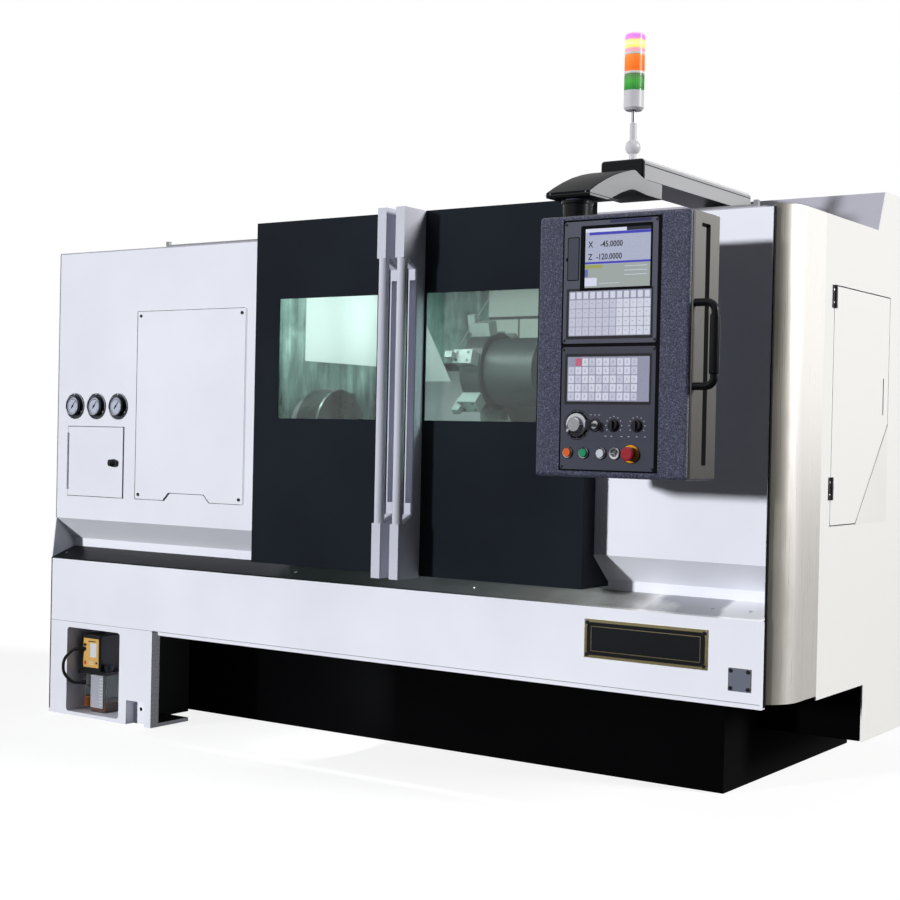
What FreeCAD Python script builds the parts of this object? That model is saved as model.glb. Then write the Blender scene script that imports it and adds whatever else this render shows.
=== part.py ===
import FreeCAD, Part
import math
import os
import Sketcher

# CNC turning lathe with a slant bed, sliding front doors and a hanging control pendant.
# Millimetres. +X runs right along the front, +Y to the back, +Z up.
# Places are stated from the machine's left end and from the plane of its lower front panel.

DOC = FreeCAD.newDocument("cnc_turning_lathe")
SHEET = DOC.addObject("Spreadsheet::Sheet", "Sizes")
NODES = []

# ---------------------------------------------------------------- driving sizes

SIZES = {
    # whole machine
    "left_end": -1289.55, "front_face": -444.5, "machine_length": 2572, "machine_depth": 1300,
    "corner_reach": 48, "sheet_wall": 4, "roof_height": 1515, "seam_height": 307,
    "lip_drop": 11, "lip_depth": 22, "lip_start": 496,
    # upper front panels, the sloping recess under them and the sill
    "panel_setback": 15, "recess_depth": 94, "slope_top": 644, "slope_foot": 574,
    "sill_back_height": 547, "sill_front_height": 514,
    "opening_left": 955, "opening_width": 1070,
    # rounded corner column and right side
    "column_radius": 110, "column_angle": 54, "column_over": 9, "column_return": 231,
    "side_low": 296, "side_step": 565, "side_foot": 140,
    "hood_left": 440, "hood_front": 615, "hood_lean": 48, "hood_rise": 120,
    # plinth and left leg
    "plinth_left": 60, "plinth_end_gap": 292, "plinth_front": 330, "plinth_rear_gap": 50,
    "plinth_height": 296,
    "leg_length": 470, "leg_wall": 35, "leg_housing": 345, "leg_depth": 300,
    "bay_left": 82, "bay_width": 244, "bay_floor": 12, "bay_height": 276, "bay_depth": 210,
    "bay_round": 12, "notch_left": 360, "notch_width": 82, "notch_height": 77,
    "notch_plate": 3, "notch_lap": 6, "notch_hole": 6, "notch_hole_across": 392,
    "notch_hole_height": 47,
    "foot_depth": 170, "foot_thick": 12,
    # lubrication unit
    "pump_left": 110, "pump_front": 42, "pump_width": 84, "pump_depth": 130,
    "pump_height": 120, "pump_round": 6, "lid_low": 136, "lid_thick": 10, "lid_over": 8,
    "tank_left": 152, "tank_width": 72, "tank_wall": 3, "cap_radius": 15,
    "bowl_across": 129, "bowl_back": 60, "head_radius": 16, "head_low": 94,
    "bowl_radius": 13, "cup_radius": 17, "cup_low": 22, "cup_high": 60,
    "gland_radius": 7, "gland_length": 16, "cable_radius": 5, "cable_top": 215,
    "cable_foot": 104,
    # doors
    "door_lap": 25.5, "door_gap": 2,
    "door_proud": 57, "door_depth": 42, "door_low": 558, "door_over": 42,
    "door_clear": 9, "window_low": 984, "window_high": 1332, "window_width": 359,
    "left_window_inset": 91, "right_window_inset": 56, "glass_lap": 14, "glass_thick": 8,
    "handle_width": 29, "handle_reach": 99, "handle_drop": 5, "left_handle_inset": 40,
    "right_handle_inset": 21, "grip_low": 702, "grip_high": 1420, "grip_radius": 14,
    "channel_depth": 36, "end_chamfer": 26, "hanger_width": 30, "hanger_inset": 60,
    "roller_radius": 11, "rail_start": 440, "rail_end_gap": 64, "rail_back": 60,
    "rail_width": 12, "rail_height": 12, "run_clear": 0.3,
    # left panel details
    "cover_left": 370, "cover_width": 457, "cover_low": 721, "cover_height": 596,
    "cover_thick": 3, "notch_in": 24, "notch_start": 122, "notch_run": 200,
    "hatch_left": 57, "hatch_width": 255, "hatch_low": 721, "hatch_height": 226,
    "hatch_lap": 6, "hinge_radius": 3.5, "latch_across": 215, "latch_up": 111,
    "latch_width": 38, "latch_height": 22, "latch_proud": 9, "latch_pin": 5,
    "gauge_start": 84, "gauge_pitch": 100.5, "gauge_gap": 68, "gauge_flange": 42.5,
    "gauge_bezel": 31, "gauge_dial": 27, "gauge_proud": 16, "gauge_body": 23,
    # plates and screws
    "plate_inset": 492, "plate_width": 349, "plate_low": 378, "plate_height": 100,
    "label_inset": 87, "label_width": 60, "label_low": 335, "label_height": 57,
    "plate_thick": 2, "screw_radius": 5, "screw_head": 2.5, "screw_inset": 14,
    # side door
    "side_door_front": 295, "side_door_width": 420, "side_door_low": 732,
    "side_door_height": 618, "side_door_gap": 3, "side_hinge_high": 1290,
    "side_hinge_low": 800, "side_hinge_height": 58, "side_hinge_leaf": 12,
    "side_hinge_thick": 2.2, "side_knuckle": 3.5, "side_pin": 1.5, "pin_fit": 0.05,
    "pull_back": 370, "pull_width": 9, "pull_low": 290, "pull_height": 100,
    # boom
    "boom_inset": 504, "boom_width": 122, "boom_front": -25, "boom_back": 622,
    "boom_rise": 85, "boom_thick": 52, "boom_edge": 7, "post_back": 560,
    "post_radius": 50, "elbow_front": -300, "elbow_back": 73, "elbow_drop": 78,
    "elbow_nose": 16, "arch_drop": 40, "peak_rise": 17, "elbow_peak_back": -88,
    "elbow_round": 18,
    # stack light
    "stack_back": 23, "stack_radius": 26, "stack_base": 49, "lens_height": 49,
    "lens_ring": 4, "stack_foot": 10, "stack_foot_height": 20, "stack_ball": 20,
    "stack_sleeve": 9, "stack_rod": 5, "stack_rise": 134,
    # pendant
    "pendant_shift": 23, "pendant_width": 397, "pendant_proud": 363,
    "pendant_depth": 139, "pendant_hang": 668, "pendant_height": 612,
    "pendant_round": 9, "inset_left": 66, "inset_width": 259, "inset_low": 14,
    "inset_height": 587, "inset_depth": 2, "neck_back": 250, "neck_radius": 34,
    "bracket_slot": 9, "grip_rod": 6, "grip_out": 62, "grip_span": 198,
    "grip_foot": 208, "grip_bend": 22,
    "screen_left": 123, "screen_width": 167, "screen_low": 442, "screen_height": 129,
    "pad_left": 78, "pad_width": 227, "upper_pad_low": 322, "lower_pad_low": 170,
    "pad_height": 118, "pad_thick": 1.5,
    "wheel_across": 114, "dial_row": 122, "wheel_radius": 27, "wheel_height": 20,
    "wheel_dish": 17, "crank_radius": 5, "crank_height": 16,
    "key_across": 161, "left_knob_across": 211, "right_knob_across": 271,
    "knob_radius": 12, "knob_height": 17, "stem_radius": 4, "stem_depth": 14,
    "button_row": 57, "orange_across": 90, "green_across": 133, "white_across": 179,
    "lamp_across": 215, "estop_across": 257, "button_radius": 10, "button_proud": 9,
    "ring_radius": 14, "ring_height": 4, "estop_radius": 16, "estop_proud": 24,
    # bed and spindle line
    "spindle_back": 430, "spindle_height": 960, "centre_height": 300, "slant_angle": 45,
    "bed_left": 150, "bed_end_gap": 30, "bed_front_run": 300, "bed_back_run": 600,
    "bed_back": 1120, "way_low": -200, "way_high": 200, "way_width": 50,
    "way_height": 40, "way_start": 790, "way_end_gap": 10,
    "chamber_left": 740, "chamber_margin": 5, "chamber_back": 1034, "chamber_lift": 45,
    "rear_drop": 120,
    "head_left": 340, "head_half": 170, "head_height": 450, "head_round": 40,
    "nose_radius": 95, "nose_length": 18, "nose_gap": 5,
    "motor_left": 95, "motor_radius": 105, "motor_offset": 112, "motor_box": 90,
    "spindle_radius": 65, "spindle_rear": 300, "spindle_bore": 30, "spindle_fit": 0.05,
    "spindle_flange": 88, "flange_thick": 22, "chuck_radius": 125, "chuck_length": 90,
    "chuck_bore": 36, "jaw_width": 30, "jaw_slot_depth": 22, "jaw_inner": 42,
    "jaw_length": 70, "jaw_rise": 46, "jaw_step": 20, "jaw_fit": 0.2,
    # carriage, cross slide and turret
    "carriage_left": 1230, "carriage_length": 350, "carriage_low": -240,
    "carriage_run": 670, "carriage_thick": 50, "slide_fit": 0.2, "guide_width": 22,
    "cross_left": 1372, "cross_length": 190, "cross_low": 70, "cross_run": 350,
    "cross_thick": 60, "turret_distance": 265, "turret_left": 1280, "turret_thick": 80,
    "turret_radius": 125, "turret_body": 105, "turret_body_length": 175,
    "turret_pillar": 150, "turret_gap": 2, "turret_shaft": 32, "turret_seat": 56,
    "tool_count": 6, "block_width": 44,
    "block_rise": 42, "shank": 20, "shank_out": 24,
    # tailstock
    "tail_left": 1680, "tail_length": 220, "tail_half": 225, "tail_thick": 60,
    "tail_web": 60, "tail_radius": 68, "quill_radius": 37, "quill_start": 1655,
    "quill_length": 220, "quill_fit": 0.05, "centre_length": 42, "centre_radius": 24,
}


def fill_sheet():
    for row, (alias, value) in enumerate(SIZES.items(), start=1):
        SHEET.set("A%d" % row, alias)
        SHEET.set("B%d" % row, str(value))
        SHEET.setAlias("B%d" % row, alias)
    DOC.recompute()


class Length:
    """A size from the sheet, or a sum of such sizes, kept with its expression."""

    def __init__(self, value, text):
        self.value = value
        self.text = text

    def __add__(self, other):
        other = as_length(other)
        return Length(self.value + other.value, "(%s + %s)" % (self.text, other.text))

    def __sub__(self, other):
        other = as_length(other)
        return Length(self.value - other.value, "(%s - %s)" % (self.text, other.text))

    def __mul__(self, other):
        other = as_length(other)
        return Length(self.value * other.value, "%s * %s" % (self.text, other.text))

    def __truediv__(self, other):
        other = as_length(other)
        return Length(self.value / other.value, "%s / %s" % (self.text, other.text))

    def __neg__(self):
        return as_length(0) - self

    __radd__ = __add__
    __rmul__ = __mul__

    def __rsub__(self, other):
        return as_length(other) - self


def as_length(value):
    if isinstance(value, Length):
        return value
    return Length(float(value), "(%s)" % value)


def size(alias):
    return Length(float(SIZES[alias]), "Sizes." + alias)


def sine(angle):
    return Length(math.sin(math.radians(angle.value)), "sin(%s * 1 deg)" % angle.text)


def cosine(angle):
    return Length(math.cos(math.radians(angle.value)), "cos(%s * 1 deg)" % angle.text)


def front_end():
    """Right end of the front panels, where the corner column begins."""
    return size("machine_length") - size("corner_reach")


def opening_end():
    return size("opening_left") + size("opening_width")


def boom_start():
    return size("machine_length") - size("boom_inset")


def pendant_start():
    return boom_start() + size("pendant_shift")


def column_top():
    return size("roof_height") + size("column_over")


def hood_top():
    return size("roof_height") + size("hood_rise")


def door_top():
    return size("roof_height") + size("door_over")


def boom_low():
    """Underside of the boom's beam, above the roof."""
    return size("roof_height") + size("boom_rise")


def boom_high():
    return boom_low() + size("boom_thick")


def elbow_low():
    return boom_low() - size("elbow_drop")


def pendant_low():
    return elbow_low() - size("pendant_hang")


def across(length):
    """World X of a place measured from the machine's left end."""
    return size("left_end") + length


def back(length):
    """World Y of a place measured from the lower front panel."""
    return size("front_face") + length


# ---------------------------------------------------------------- building helpers

def bind(item, path, length):
    item.setExpression(path, as_length(length).text)


def place(item, x, y, z, turn_axis=None, turn_deg=0):
    if turn_axis is not None:
        spin = FreeCAD.Rotation(FreeCAD.Vector(*turn_axis), turn_deg)
        item.Placement = FreeCAD.Placement(FreeCAD.Vector(), spin)
    bind(item, "Placement.Base.x", x)
    bind(item, "Placement.Base.y", y)
    bind(item, "Placement.Base.z", z)
    return item


def node(label, item):
    item.Label = label
    NODES.append(item)
    return item


def box(name, corner, extent):
    item = DOC.addObject("Part::Box", name)
    for side, length in zip(("Length", "Width", "Height"), extent):
        bind(item, side, length)
    return place(item, *corner)


TURNS = {"x": ((0, 1, 0), 90), "y": ((1, 0, 0), -90), "z": ((0, 0, 1), 0)}


def rod(name, start, radius, length, axis="z"):
    item = DOC.addObject("Part::Cylinder", name)
    bind(item, "Radius", radius)
    bind(item, "Height", length)
    turn_axis, turn_deg = TURNS[axis]
    return place(item, *start, turn_axis=turn_axis, turn_deg=turn_deg)


def fuse(name, parts):
    item = DOC.addObject("Part::MultiFuse", name)
    item.Shapes = list(parts)
    item.Refine = True
    return item


def cut(name, base, tools):
    item = DOC.addObject("Part::Cut", name)
    item.Base = base
    item.Tool = tools[0] if len(tools) == 1 else fuse(name + "_tools", tools)
    item.Refine = True
    return item


def group(name, parts):
    item = DOC.addObject("Part::Compound", name)
    item.Links = list(parts)
    return item


def origin_plane(body, role):
    for feature in body.Origin.OriginFeatures:
        if feature.Role == role:
            return feature
    raise ValueError(role)


def outline(sketch, points):
    """Closed outline of straight edges whose corners are bound to the sheet."""
    spots = [FreeCAD.Vector(u.value, v.value, 0) for u, v in points]
    first = sketch.GeometryCount
    for index, spot in enumerate(spots):
        sketch.addGeometry(Part.LineSegment(spot, spots[(index + 1) % len(spots)]), False)
    for index in range(len(spots)):
        following = first + (index + 1) % len(spots)
        sketch.addConstraint(Sketcher.Constraint("Coincident", first + index, 2, following, 1))
    for index, (u, v) in enumerate(points):
        for kind, length in (("DistanceX", u), ("DistanceY", v)):
            rule = Sketcher.Constraint(kind, -1, 1, first + index, 1, length.value)
            number = sketch.addConstraint(rule)
            bind(sketch, "Constraints[%d]" % number, length)


def ring(sketch, centre, radius):
    spot = FreeCAD.Vector(centre[0].value, centre[1].value, 0)
    circle = Part.Circle(spot, FreeCAD.Vector(0, 0, 1), radius.value)
    index = sketch.addGeometry(circle, False)
    rules = (("DistanceX", centre[0]), ("DistanceY", centre[1]))
    for kind, length in rules:
        number = sketch.addConstraint(Sketcher.Constraint(kind, -1, 1, index, 3, length.value))
        bind(sketch, "Constraints[%d]" % number, length)
    number = sketch.addConstraint(Sketcher.Constraint("Radius", index, radius.value))
    bind(sketch, "Constraints[%d]" % number, radius)


def lengths(points):
    return [(as_length(u), as_length(v)) for u, v in points]


def prism(name, role, points, depth, corner, holes=(), rings=(), turn=None):
    """Body padded from an outline. YZ outlines grow along +X, XZ along +Y, XY along +Z."""
    body = DOC.addObject("PartDesign::Body", name)
    sketch = body.newObject("Sketcher::SketchObject", name + "_sketch")
    sketch.AttachmentSupport = (origin_plane(body, role), [""])
    sketch.MapMode = "FlatFace"
    outline(sketch, lengths(points))
    for hole in holes:
        outline(sketch, lengths(hole))
    for centre, radius in rings:
        ring(sketch, (as_length(centre[0]), as_length(centre[1])), as_length(radius))
    pad = body.newObject("PartDesign::Pad", name + "_pad")
    pad.Profile = sketch
    bind(pad, "Length", depth)
    pad.Reversed = role == "XZ_Plane"
    sketch.Visibility = False
    if turn is not None:
        place(body, *corner, turn_axis=(1, 0, 0), turn_deg=turn.value)
        bind(body, "Placement.Rotation.Angle", turn)
    else:
        place(body, *corner)
    return body


def turned(name, points, corner, axis="z"):
    """Body of revolution. Points are (radius, height) along the named world axis."""
    body = DOC.addObject("PartDesign::Body", name)
    sketch = body.newObject("Sketcher::SketchObject", name + "_sketch")
    sketch.AttachmentSupport = (origin_plane(body, "XZ_Plane"), [""])
    sketch.MapMode = "FlatFace"
    outline(sketch, lengths(points))
    spun = body.newObject("PartDesign::Revolution", name + "_spun")
    spun.Profile = sketch
    spun.ReferenceAxis = (sketch, ["V_Axis"])
    spun.Angle = 360
    sketch.Visibility = False
    turns = {"x": ((0, 1, 0), 90), "-x": ((0, 1, 0), -90), "-y": ((1, 0, 0), 90),
             "z": ((0, 0, 1), 0)}
    turn_axis, turn_deg = turns[axis]
    return place(body, *corner, turn_axis=turn_axis, turn_deg=turn_deg)


def rounded(body, name, radius, wanted):
    """Fillet the edges of a body that the test picks out by their middle and direction."""
    DOC.recompute()
    base = body.Tip
    picked = []
    for number, edge in enumerate(base.Shape.Edges, start=1):
        middle = edge.valueAt((edge.FirstParameter + edge.LastParameter) / 2)
        way = edge.tangentAt(edge.FirstParameter)
        if edge.Curve.TypeId == "Part::GeomLine" and wanted(middle, way):
            picked.append("Edge%d" % number)
    fillet = body.newObject("PartDesign::Fillet", name)
    fillet.Base = (base, picked)
    bind(fillet, "Radius", radius)
    body.Tip = fillet
    return body


def box_body(name, corner, extent):
    """Box as a body, so that its edges can be rounded."""
    dx, dy, dz = extent
    points = [(0, 0), (dx, 0), (dx, dz), (0, dz)]
    return prism(name, "XZ_Plane", points, dy, corner)


# ---------------------------------------------------------------- the slanted bed frame

def slope_point(run, rise):
    """World Y and Z of a place along the bed's slope and square to it."""
    angle = size("slant_angle")
    foot_y = back(size("spindle_back")) + size("centre_height") * sine(angle)
    foot_z = size("spindle_height") - size("centre_height") * cosine(angle)
    y = foot_y + as_length(run) * cosine(angle) - as_length(rise) * sine(angle)
    z = foot_z + as_length(run) * sine(angle) + as_length(rise) * cosine(angle)
    return y, z


def slope_box(name, x, run, rise, extent):
    item = DOC.addObject("Part::Box", name)
    for side, length in zip(("Length", "Width", "Height"), extent):
        bind(item, side, length)
    y, z = slope_point(run, rise)
    place(item, x, y, z, turn_axis=(1, 0, 0), turn_deg=size("slant_angle").value)
    bind(item, "Placement.Rotation.Angle", size("slant_angle"))
    return item


def slope_rod(name, x, run, rise, radius, length):
    y, z = slope_point(run, rise)
    return rod(name, (x, y, z), radius, length, axis="x")


def spindle_line():
    return back(size("spindle_back")), size("spindle_height")


def around(centre, angle_deg, radial, sideways):
    """World Y and Z of a place at a radius and sideways offset round an X axis."""
    angle = math.radians(angle_deg)
    sin_a = round(math.sin(angle), 12)
    cos_a = round(math.cos(angle), 12)
    y = centre[0] + as_length(radial) * cos_a - as_length(sideways) * sin_a
    z = centre[1] + as_length(radial) * sin_a + as_length(sideways) * cos_a
    return y, z


def spoke_box(name, centre, angle_deg, x, radial, extent):
    """Box that starts at a radius and is centred on its spoke, extent (x, radial, wide)."""
    length, deep, wide = extent
    item = DOC.addObject("Part::Box", name)
    bind(item, "Length", length)
    bind(item, "Width", deep)
    bind(item, "Height", wide)
    y, z = around(centre, angle_deg, radial, -(as_length(wide) / 2))
    return place(item, x, y, z, turn_axis=(1, 0, 0), turn_deg=angle_deg)


# ---------------------------------------------------------------- base and lower front

def plinth():
    start = size("plinth_left")
    corner = (across(start), back(size("plinth_front")), as_length(0))
    extent = (size("machine_length") - size("plinth_end_gap") - start,
              size("machine_depth") - size("plinth_rear_gap") - size("plinth_front"),
              size("plinth_height"))
    node("plinth", box("plinth_block", corner, extent))


def leg_cabinet():
    wall = size("leg_wall")
    height = size("seam_height")
    front = (across(0), back(0), as_length(0))
    slab = box("leg_slab", front, (size("leg_length"), wall, height))
    house = box("leg_house", (across(0), back(0), as_length(0)),
                (size("leg_housing"), size("leg_depth"), height))
    foot = box("leg_foot", (across(size("leg_housing")), back(0), as_length(0)),
               (size("leg_length") - size("leg_housing"), size("foot_depth"),
                size("foot_thick")))
    bay = box_body("pump_bay", (across(size("bay_left")), back(-1), size("bay_floor")),
                   (size("bay_width"), size("bay_depth") + 1, size("bay_height")))
    rounded(bay, "pump_bay_round", size("bay_round"),
            lambda middle, way: abs(way.y) > 0.99)
    notch = box("leg_notch", (across(size("notch_left")), back(-1), as_length(-1)),
                (size("notch_width"), wall + 1, size("notch_height") + 1))
    shell = cut("leg_cut", fuse("leg_shell", [slab, house, foot]), [bay, notch])
    lap = size("notch_lap")
    plate = box("notch_back", (across(size("notch_left") - lap), back(wall),
                               size("foot_thick")),
                (size("notch_width") + 2 * lap, size("notch_plate"),
                 size("notch_height") + lap - size("foot_thick")))
    hole = rod("notch_bore", (across(size("notch_hole_across")), back(wall - 1),
                              size("notch_hole_height")),
               size("notch_hole"), size("notch_plate") + 2, axis="y")
    node("leg_cabinet", fuse("leg_weld", [shell, cut("notch_sheet", plate, [hole])]))


def lower_front_panel():
    wall = size("sheet_wall")
    seam = size("seam_height")
    top = size("sill_front_height") - wall
    face = box("front_face_sheet", (across(0), back(0), seam),
               (front_end(), wall, top - seam))
    lip_start = size("lip_start")
    lip = box("front_lip", (across(lip_start), back(0), seam - size("lip_drop")),
              (front_end() - lip_start, size("lip_depth"), size("lip_drop")))
    end = box("front_return", (across(front_end() - wall), back(wall), seam),
              (wall, size("panel_setback") + 1, top - seam))
    node("lower_front_panel", fuse("front_fold", [face, lip, end]))


def sill():
    wall = size("sheet_wall")
    low = size("sill_front_height")
    high = size("sill_back_height")
    points = [(0, low - wall), (0, low), (size("recess_depth"), high),
              (size("recess_depth"), high - wall)]
    node("sill", prism("sill_strip", "YZ_Plane", points, front_end() - wall,
                       (across(wall), back(0), as_length(0))))


# ---------------------------------------------------------------- upper front panels

def slope_fold(name, start, length):
    """Sheet that slopes back under the upper front panel and drops to the sill."""
    wall = size("sheet_wall")
    setback = size("panel_setback")
    deep = size("recess_depth")
    foot = size("sill_back_height") - wall
    points = [(setback, size("slope_top")), (deep, size("slope_foot")), (deep, foot),
              (deep + wall, foot), (deep + wall, size("slope_foot") + wall / 2),
              (setback + wall, size("slope_top") + wall / 2)]
    return prism(name, "YZ_Plane", points, length, (across(start), back(0), as_length(0)))


def rectangle(left, low, width, height):
    return [(left, low), (left + width, low), (left + width, low + height),
            (left, low + height)]


def gauge_line():
    """Height of the gauges, a gap above the hatch."""
    return size("hatch_low") + size("hatch_height") + size("gauge_gap")


def gauge_places():
    return [size("gauge_start") + size("gauge_pitch") * index for index in range(3)]


def left_cover():
    wall = size("sheet_wall")
    low = size("slope_top")
    face = rectangle(as_length(0), low, size("opening_left"), size("roof_height") - low)
    lap = size("hatch_lap")
    hatch = rectangle(size("hatch_left") + lap, size("hatch_low") + lap,
                      size("hatch_width") - 2 * lap, size("hatch_height") - 2 * lap)
    rings = [((x, gauge_line()), size("gauge_body") + 1) for x in gauge_places()]
    front = prism("left_face", "XZ_Plane", face, wall,
                  (across(0), back(size("panel_setback")), as_length(0)),
                  holes=[hatch], rings=rings)
    slope = slope_fold("left_slope", as_length(0), size("opening_left"))
    seam = size("seam_height")
    profile = [(wall, seam), (wall, size("sill_front_height") - wall),
               (0, size("sill_front_height") - wall), (0, size("sill_front_height")),
               (size("panel_setback"), size("slope_top")),
               (size("panel_setback"), size("roof_height")),
               (size("machine_depth") - wall, size("roof_height")),
               (size("machine_depth") - wall, size("side_foot")),
               (size("side_step"), size("side_foot")), (size("side_step"), seam)]
    side = prism("left_side", "YZ_Plane", profile, wall, (across(0), back(0), as_length(0)))
    node("left_cover", fuse("left_fold", [front, slope, side]))


def right_front_panel():
    start = opening_end()
    low = size("slope_top")
    length = front_end() - start
    face = box("right_face", (across(start), back(size("panel_setback")), low),
               (length, size("sheet_wall"), size("roof_height") - low))
    slope = slope_fold("right_slope", start, length)
    node("right_front_panel", fuse("right_fold", [face, slope]))


def corner_column():
    wall = size("sheet_wall")
    radius = size("column_radius")
    low = size("seam_height")
    height = column_top() - low
    centre = (across(size("machine_length") - radius), back(radius))
    sweep = size("column_angle")
    sectors = []
    for name, reach, start, rise in (("column_outer", radius, low, height),
                                     ("column_inner", radius - wall, low, height - wall)):
        item = DOC.addObject("Part::Cylinder", name)
        bind(item, "Radius", reach)
        bind(item, "Height", rise)
        bind(item, "Angle", sweep)
        place(item, centre[0], centre[1], start, turn_axis=(0, 0, -1),
              turn_deg=sweep.value)
        bind(item, "Placement.Rotation.Angle", sweep)
        sectors.append(item)
    curve = cut("column_curve", sectors[0], [sectors[1]])
    flat = box("column_flat", (across(size("machine_length") - wall), centre[1], low),
               (wall, size("column_return") - radius, height))
    node("corner_column", fuse("column_fold", [curve, flat]))


def side_hinge_axis():
    """World X and Y of the side door's hinge pins."""
    return (across(size("machine_length") + size("side_knuckle") + 0.1),
            back(size("side_door_front") + size("side_door_gap") / 2))


def hinge_leaf(name, low, outward):
    """Flat leaf beside the knuckles, on the fixed side (-1) or the door side (1)."""
    reach = size("side_knuckle") + 0.5
    wide = size("side_hinge_leaf")
    y = side_hinge_axis()[1]
    start = y + reach if outward > 0 else y - reach - wide
    return box(name, (across(size("machine_length")), start, low),
               (size("side_hinge_thick"), wide, size("side_hinge_height")))


def hinge_knuckle(name, low, high, outward):
    """Length of the hinge barrel with the web that joins it to its leaf."""
    x, y = side_hinge_axis()
    reach = size("side_knuckle") + 1
    barrel = rod(name + "_barrel", (x, y, low), size("side_knuckle"), high - low)
    start = y if outward > 0 else y - reach
    web = box(name + "_web", (across(size("machine_length")) + 0.2, start, low),
              (size("side_hinge_thick") - 0.2, reach, high - low))
    return [barrel, web]


def fixed_leaf(name):
    low = size(name)
    tall = size("side_hinge_height")
    x, y = side_hinge_axis()
    parts = [hinge_leaf(name + "_leaf", low, -1)]
    parts += hinge_knuckle(name + "_foot", low, low + tall / 3, -1)
    parts += hinge_knuckle(name + "_head", low + tall * 2 / 3, low + tall, -1)
    parts.append(rod(name + "_pin", (x, y, low), size("side_pin"), tall))
    return parts


def moving_leaf(name):
    low = size(name)
    tall = size("side_hinge_height")
    gap = size("run_clear")
    x, y = side_hinge_axis()
    middle = hinge_knuckle(name + "_middle", low + tall / 3 + gap,
                           low + tall * 2 / 3 - gap, 1)
    bore = rod(name + "_bore", (x, y, low), size("side_pin") + size("pin_fit"), tall)
    knuckle = cut(name + "_knuckle", fuse(name + "_middle", middle), [bore])
    return [hinge_leaf(name + "_arm", low, 1), knuckle]


def right_side_panel():
    wall = size("sheet_wall")
    front = size("column_return")
    hood = size("hood_front")
    points = [(front, size("side_low")), (size("side_step"), size("side_low")),
              (size("side_step"), size("side_foot")),
              (size("machine_depth"), size("side_foot")),
              (size("machine_depth"), hood_top()),
              (hood + size("hood_lean"), hood_top()),
              (hood, column_top()), (front, column_top())]
    doorway = rectangle(size("side_door_front"), size("side_door_low"),
                        size("side_door_width"), size("side_door_height"))
    sheet = prism("side_sheet", "YZ_Plane", points, wall,
                  (across(size("machine_length") - wall), back(0), as_length(0)),
                  holes=[doorway])
    leaves = []
    for name in ("side_hinge_low", "side_hinge_high"):
        leaves += fixed_leaf(name)
    node("right_side_panel", fuse("side_fold", [sheet] + leaves))


def rear_hood():
    wall = size("sheet_wall")
    front = size("hood_front")
    lean = size("hood_lean")
    top = hood_top()
    deep = size("machine_depth")
    roof = column_top()
    skin = [(front, roof), (front + lean, top), (deep, top), (deep, size("side_foot")),
            (deep - wall, size("side_foot")), (deep - wall, top - wall),
            (front + lean + wall, top - wall), (front + wall, roof)]
    start = size("hood_left")
    cover = prism("hood_skin", "YZ_Plane", skin, size("machine_length") - wall - start,
                  (across(start), back(0), as_length(0)))
    deck = size("roof_height") + wall
    gable = [(front, deck), (front, roof), (front + lean, top), (deep, top),
             (deep, deck)]
    end = prism("hood_gable", "YZ_Plane", gable, wall,
                (across(start), back(0), as_length(0)))
    rear = box("rear_wall", (across(0), back(deep - wall), size("side_foot")),
               (start + wall, wall, size("roof_height") - size("side_foot")))
    curb = box("hood_curb", (across(start), back(front), deck),
               (size("machine_length") - wall - start, wall, roof - deck + 1))
    node("rear_hood", fuse("hood_fold", [cover, end, rear, curb]))


def roof_panel():
    wall = size("sheet_wall")
    right = size("machine_length") - wall - 2
    radius = size("column_radius")
    front = size("panel_setback")
    points = [(0, front), (size("machine_length") - radius + 36, front + wall),
              (right, radius), (right, size("machine_depth") - wall - 1),
              (0, size("machine_depth") - wall - 1)]
    node("roof_panel", prism("roof_sheet", "XY_Plane", points, wall,
                             (across(0), back(0), size("roof_height"))))


def door_rail():
    wall = size("sheet_wall")
    start = size("rail_start")
    length = front_end() - size("rail_end_gap") - start
    corner = (across(start), back(size("rail_back")), size("roof_height") + wall)
    rail = box("rail_bar", corner, (length, size("rail_width"), size("rail_height")))
    stops = []
    for name, x in (("left", start), ("right", start + length - size("rail_width"))):
        spot = (across(x), back(size("rail_back")), corner[2] + size("rail_height"))
        stops.append(box("rail_stop_" + name, spot,
                         (size("rail_width"), size("rail_width"), size("roller_radius"))))
    node("door_rail", fuse("rail_run", [rail] + stops))


# ---------------------------------------------------------------- left panel details

def inspection_cover():
    left = size("cover_left")
    low = size("cover_low")
    right = left + size("cover_width")
    top = low + size("cover_height")
    start = left + size("notch_start")
    stop = start + size("notch_run")
    rise = size("notch_in")
    points = [(left, low), (start, low), (start + rise, low + rise),
              (stop - rise, low + rise), (stop, low), (right, low), (right, top),
              (left, top)]
    thick = size("cover_thick")
    node("inspection_cover", prism("cover_sheet", "XZ_Plane", points, thick,
                                   (across(0), back(size("panel_setback") - thick),
                                    as_length(0))))


def screw_row(name, spots, face):
    """Screw heads on an upright face, their axes along -Y."""
    heads = []
    for index, (x, z) in enumerate(spots):
        start = (across(x), back(face - size("screw_head")), as_length(z))
        heads.append(rod("%s_%d" % (name, index), start, size("screw_radius"),
                         size("screw_head"), axis="y"))
    return heads


def corner_spots(left, low, width, height, inset):
    return [(left + dx, low + dz) for dx in (inset, width - inset)
            for dz in (inset, height - inset)]


def panel_screws():
    inset = size("screw_inset")
    cover = corner_spots(size("cover_left"), size("cover_low"), size("cover_width"),
                         size("cover_height"), inset)
    heads = screw_row("cover_screw", cover, size("panel_setback") - size("cover_thick"))
    plate = corner_spots(front_end() - size("plate_inset"), size("plate_low"), size("plate_width"),
                         size("plate_height"), inset / 2 + 2)
    label = corner_spots(front_end() - size("label_inset"), size("label_low"), size("label_width"),
                         size("label_height"), inset / 2)
    heads += screw_row("plate_screw", plate + label, -size("plate_thick"))
    node("panel_screws", group("screw_heads", heads))


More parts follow.
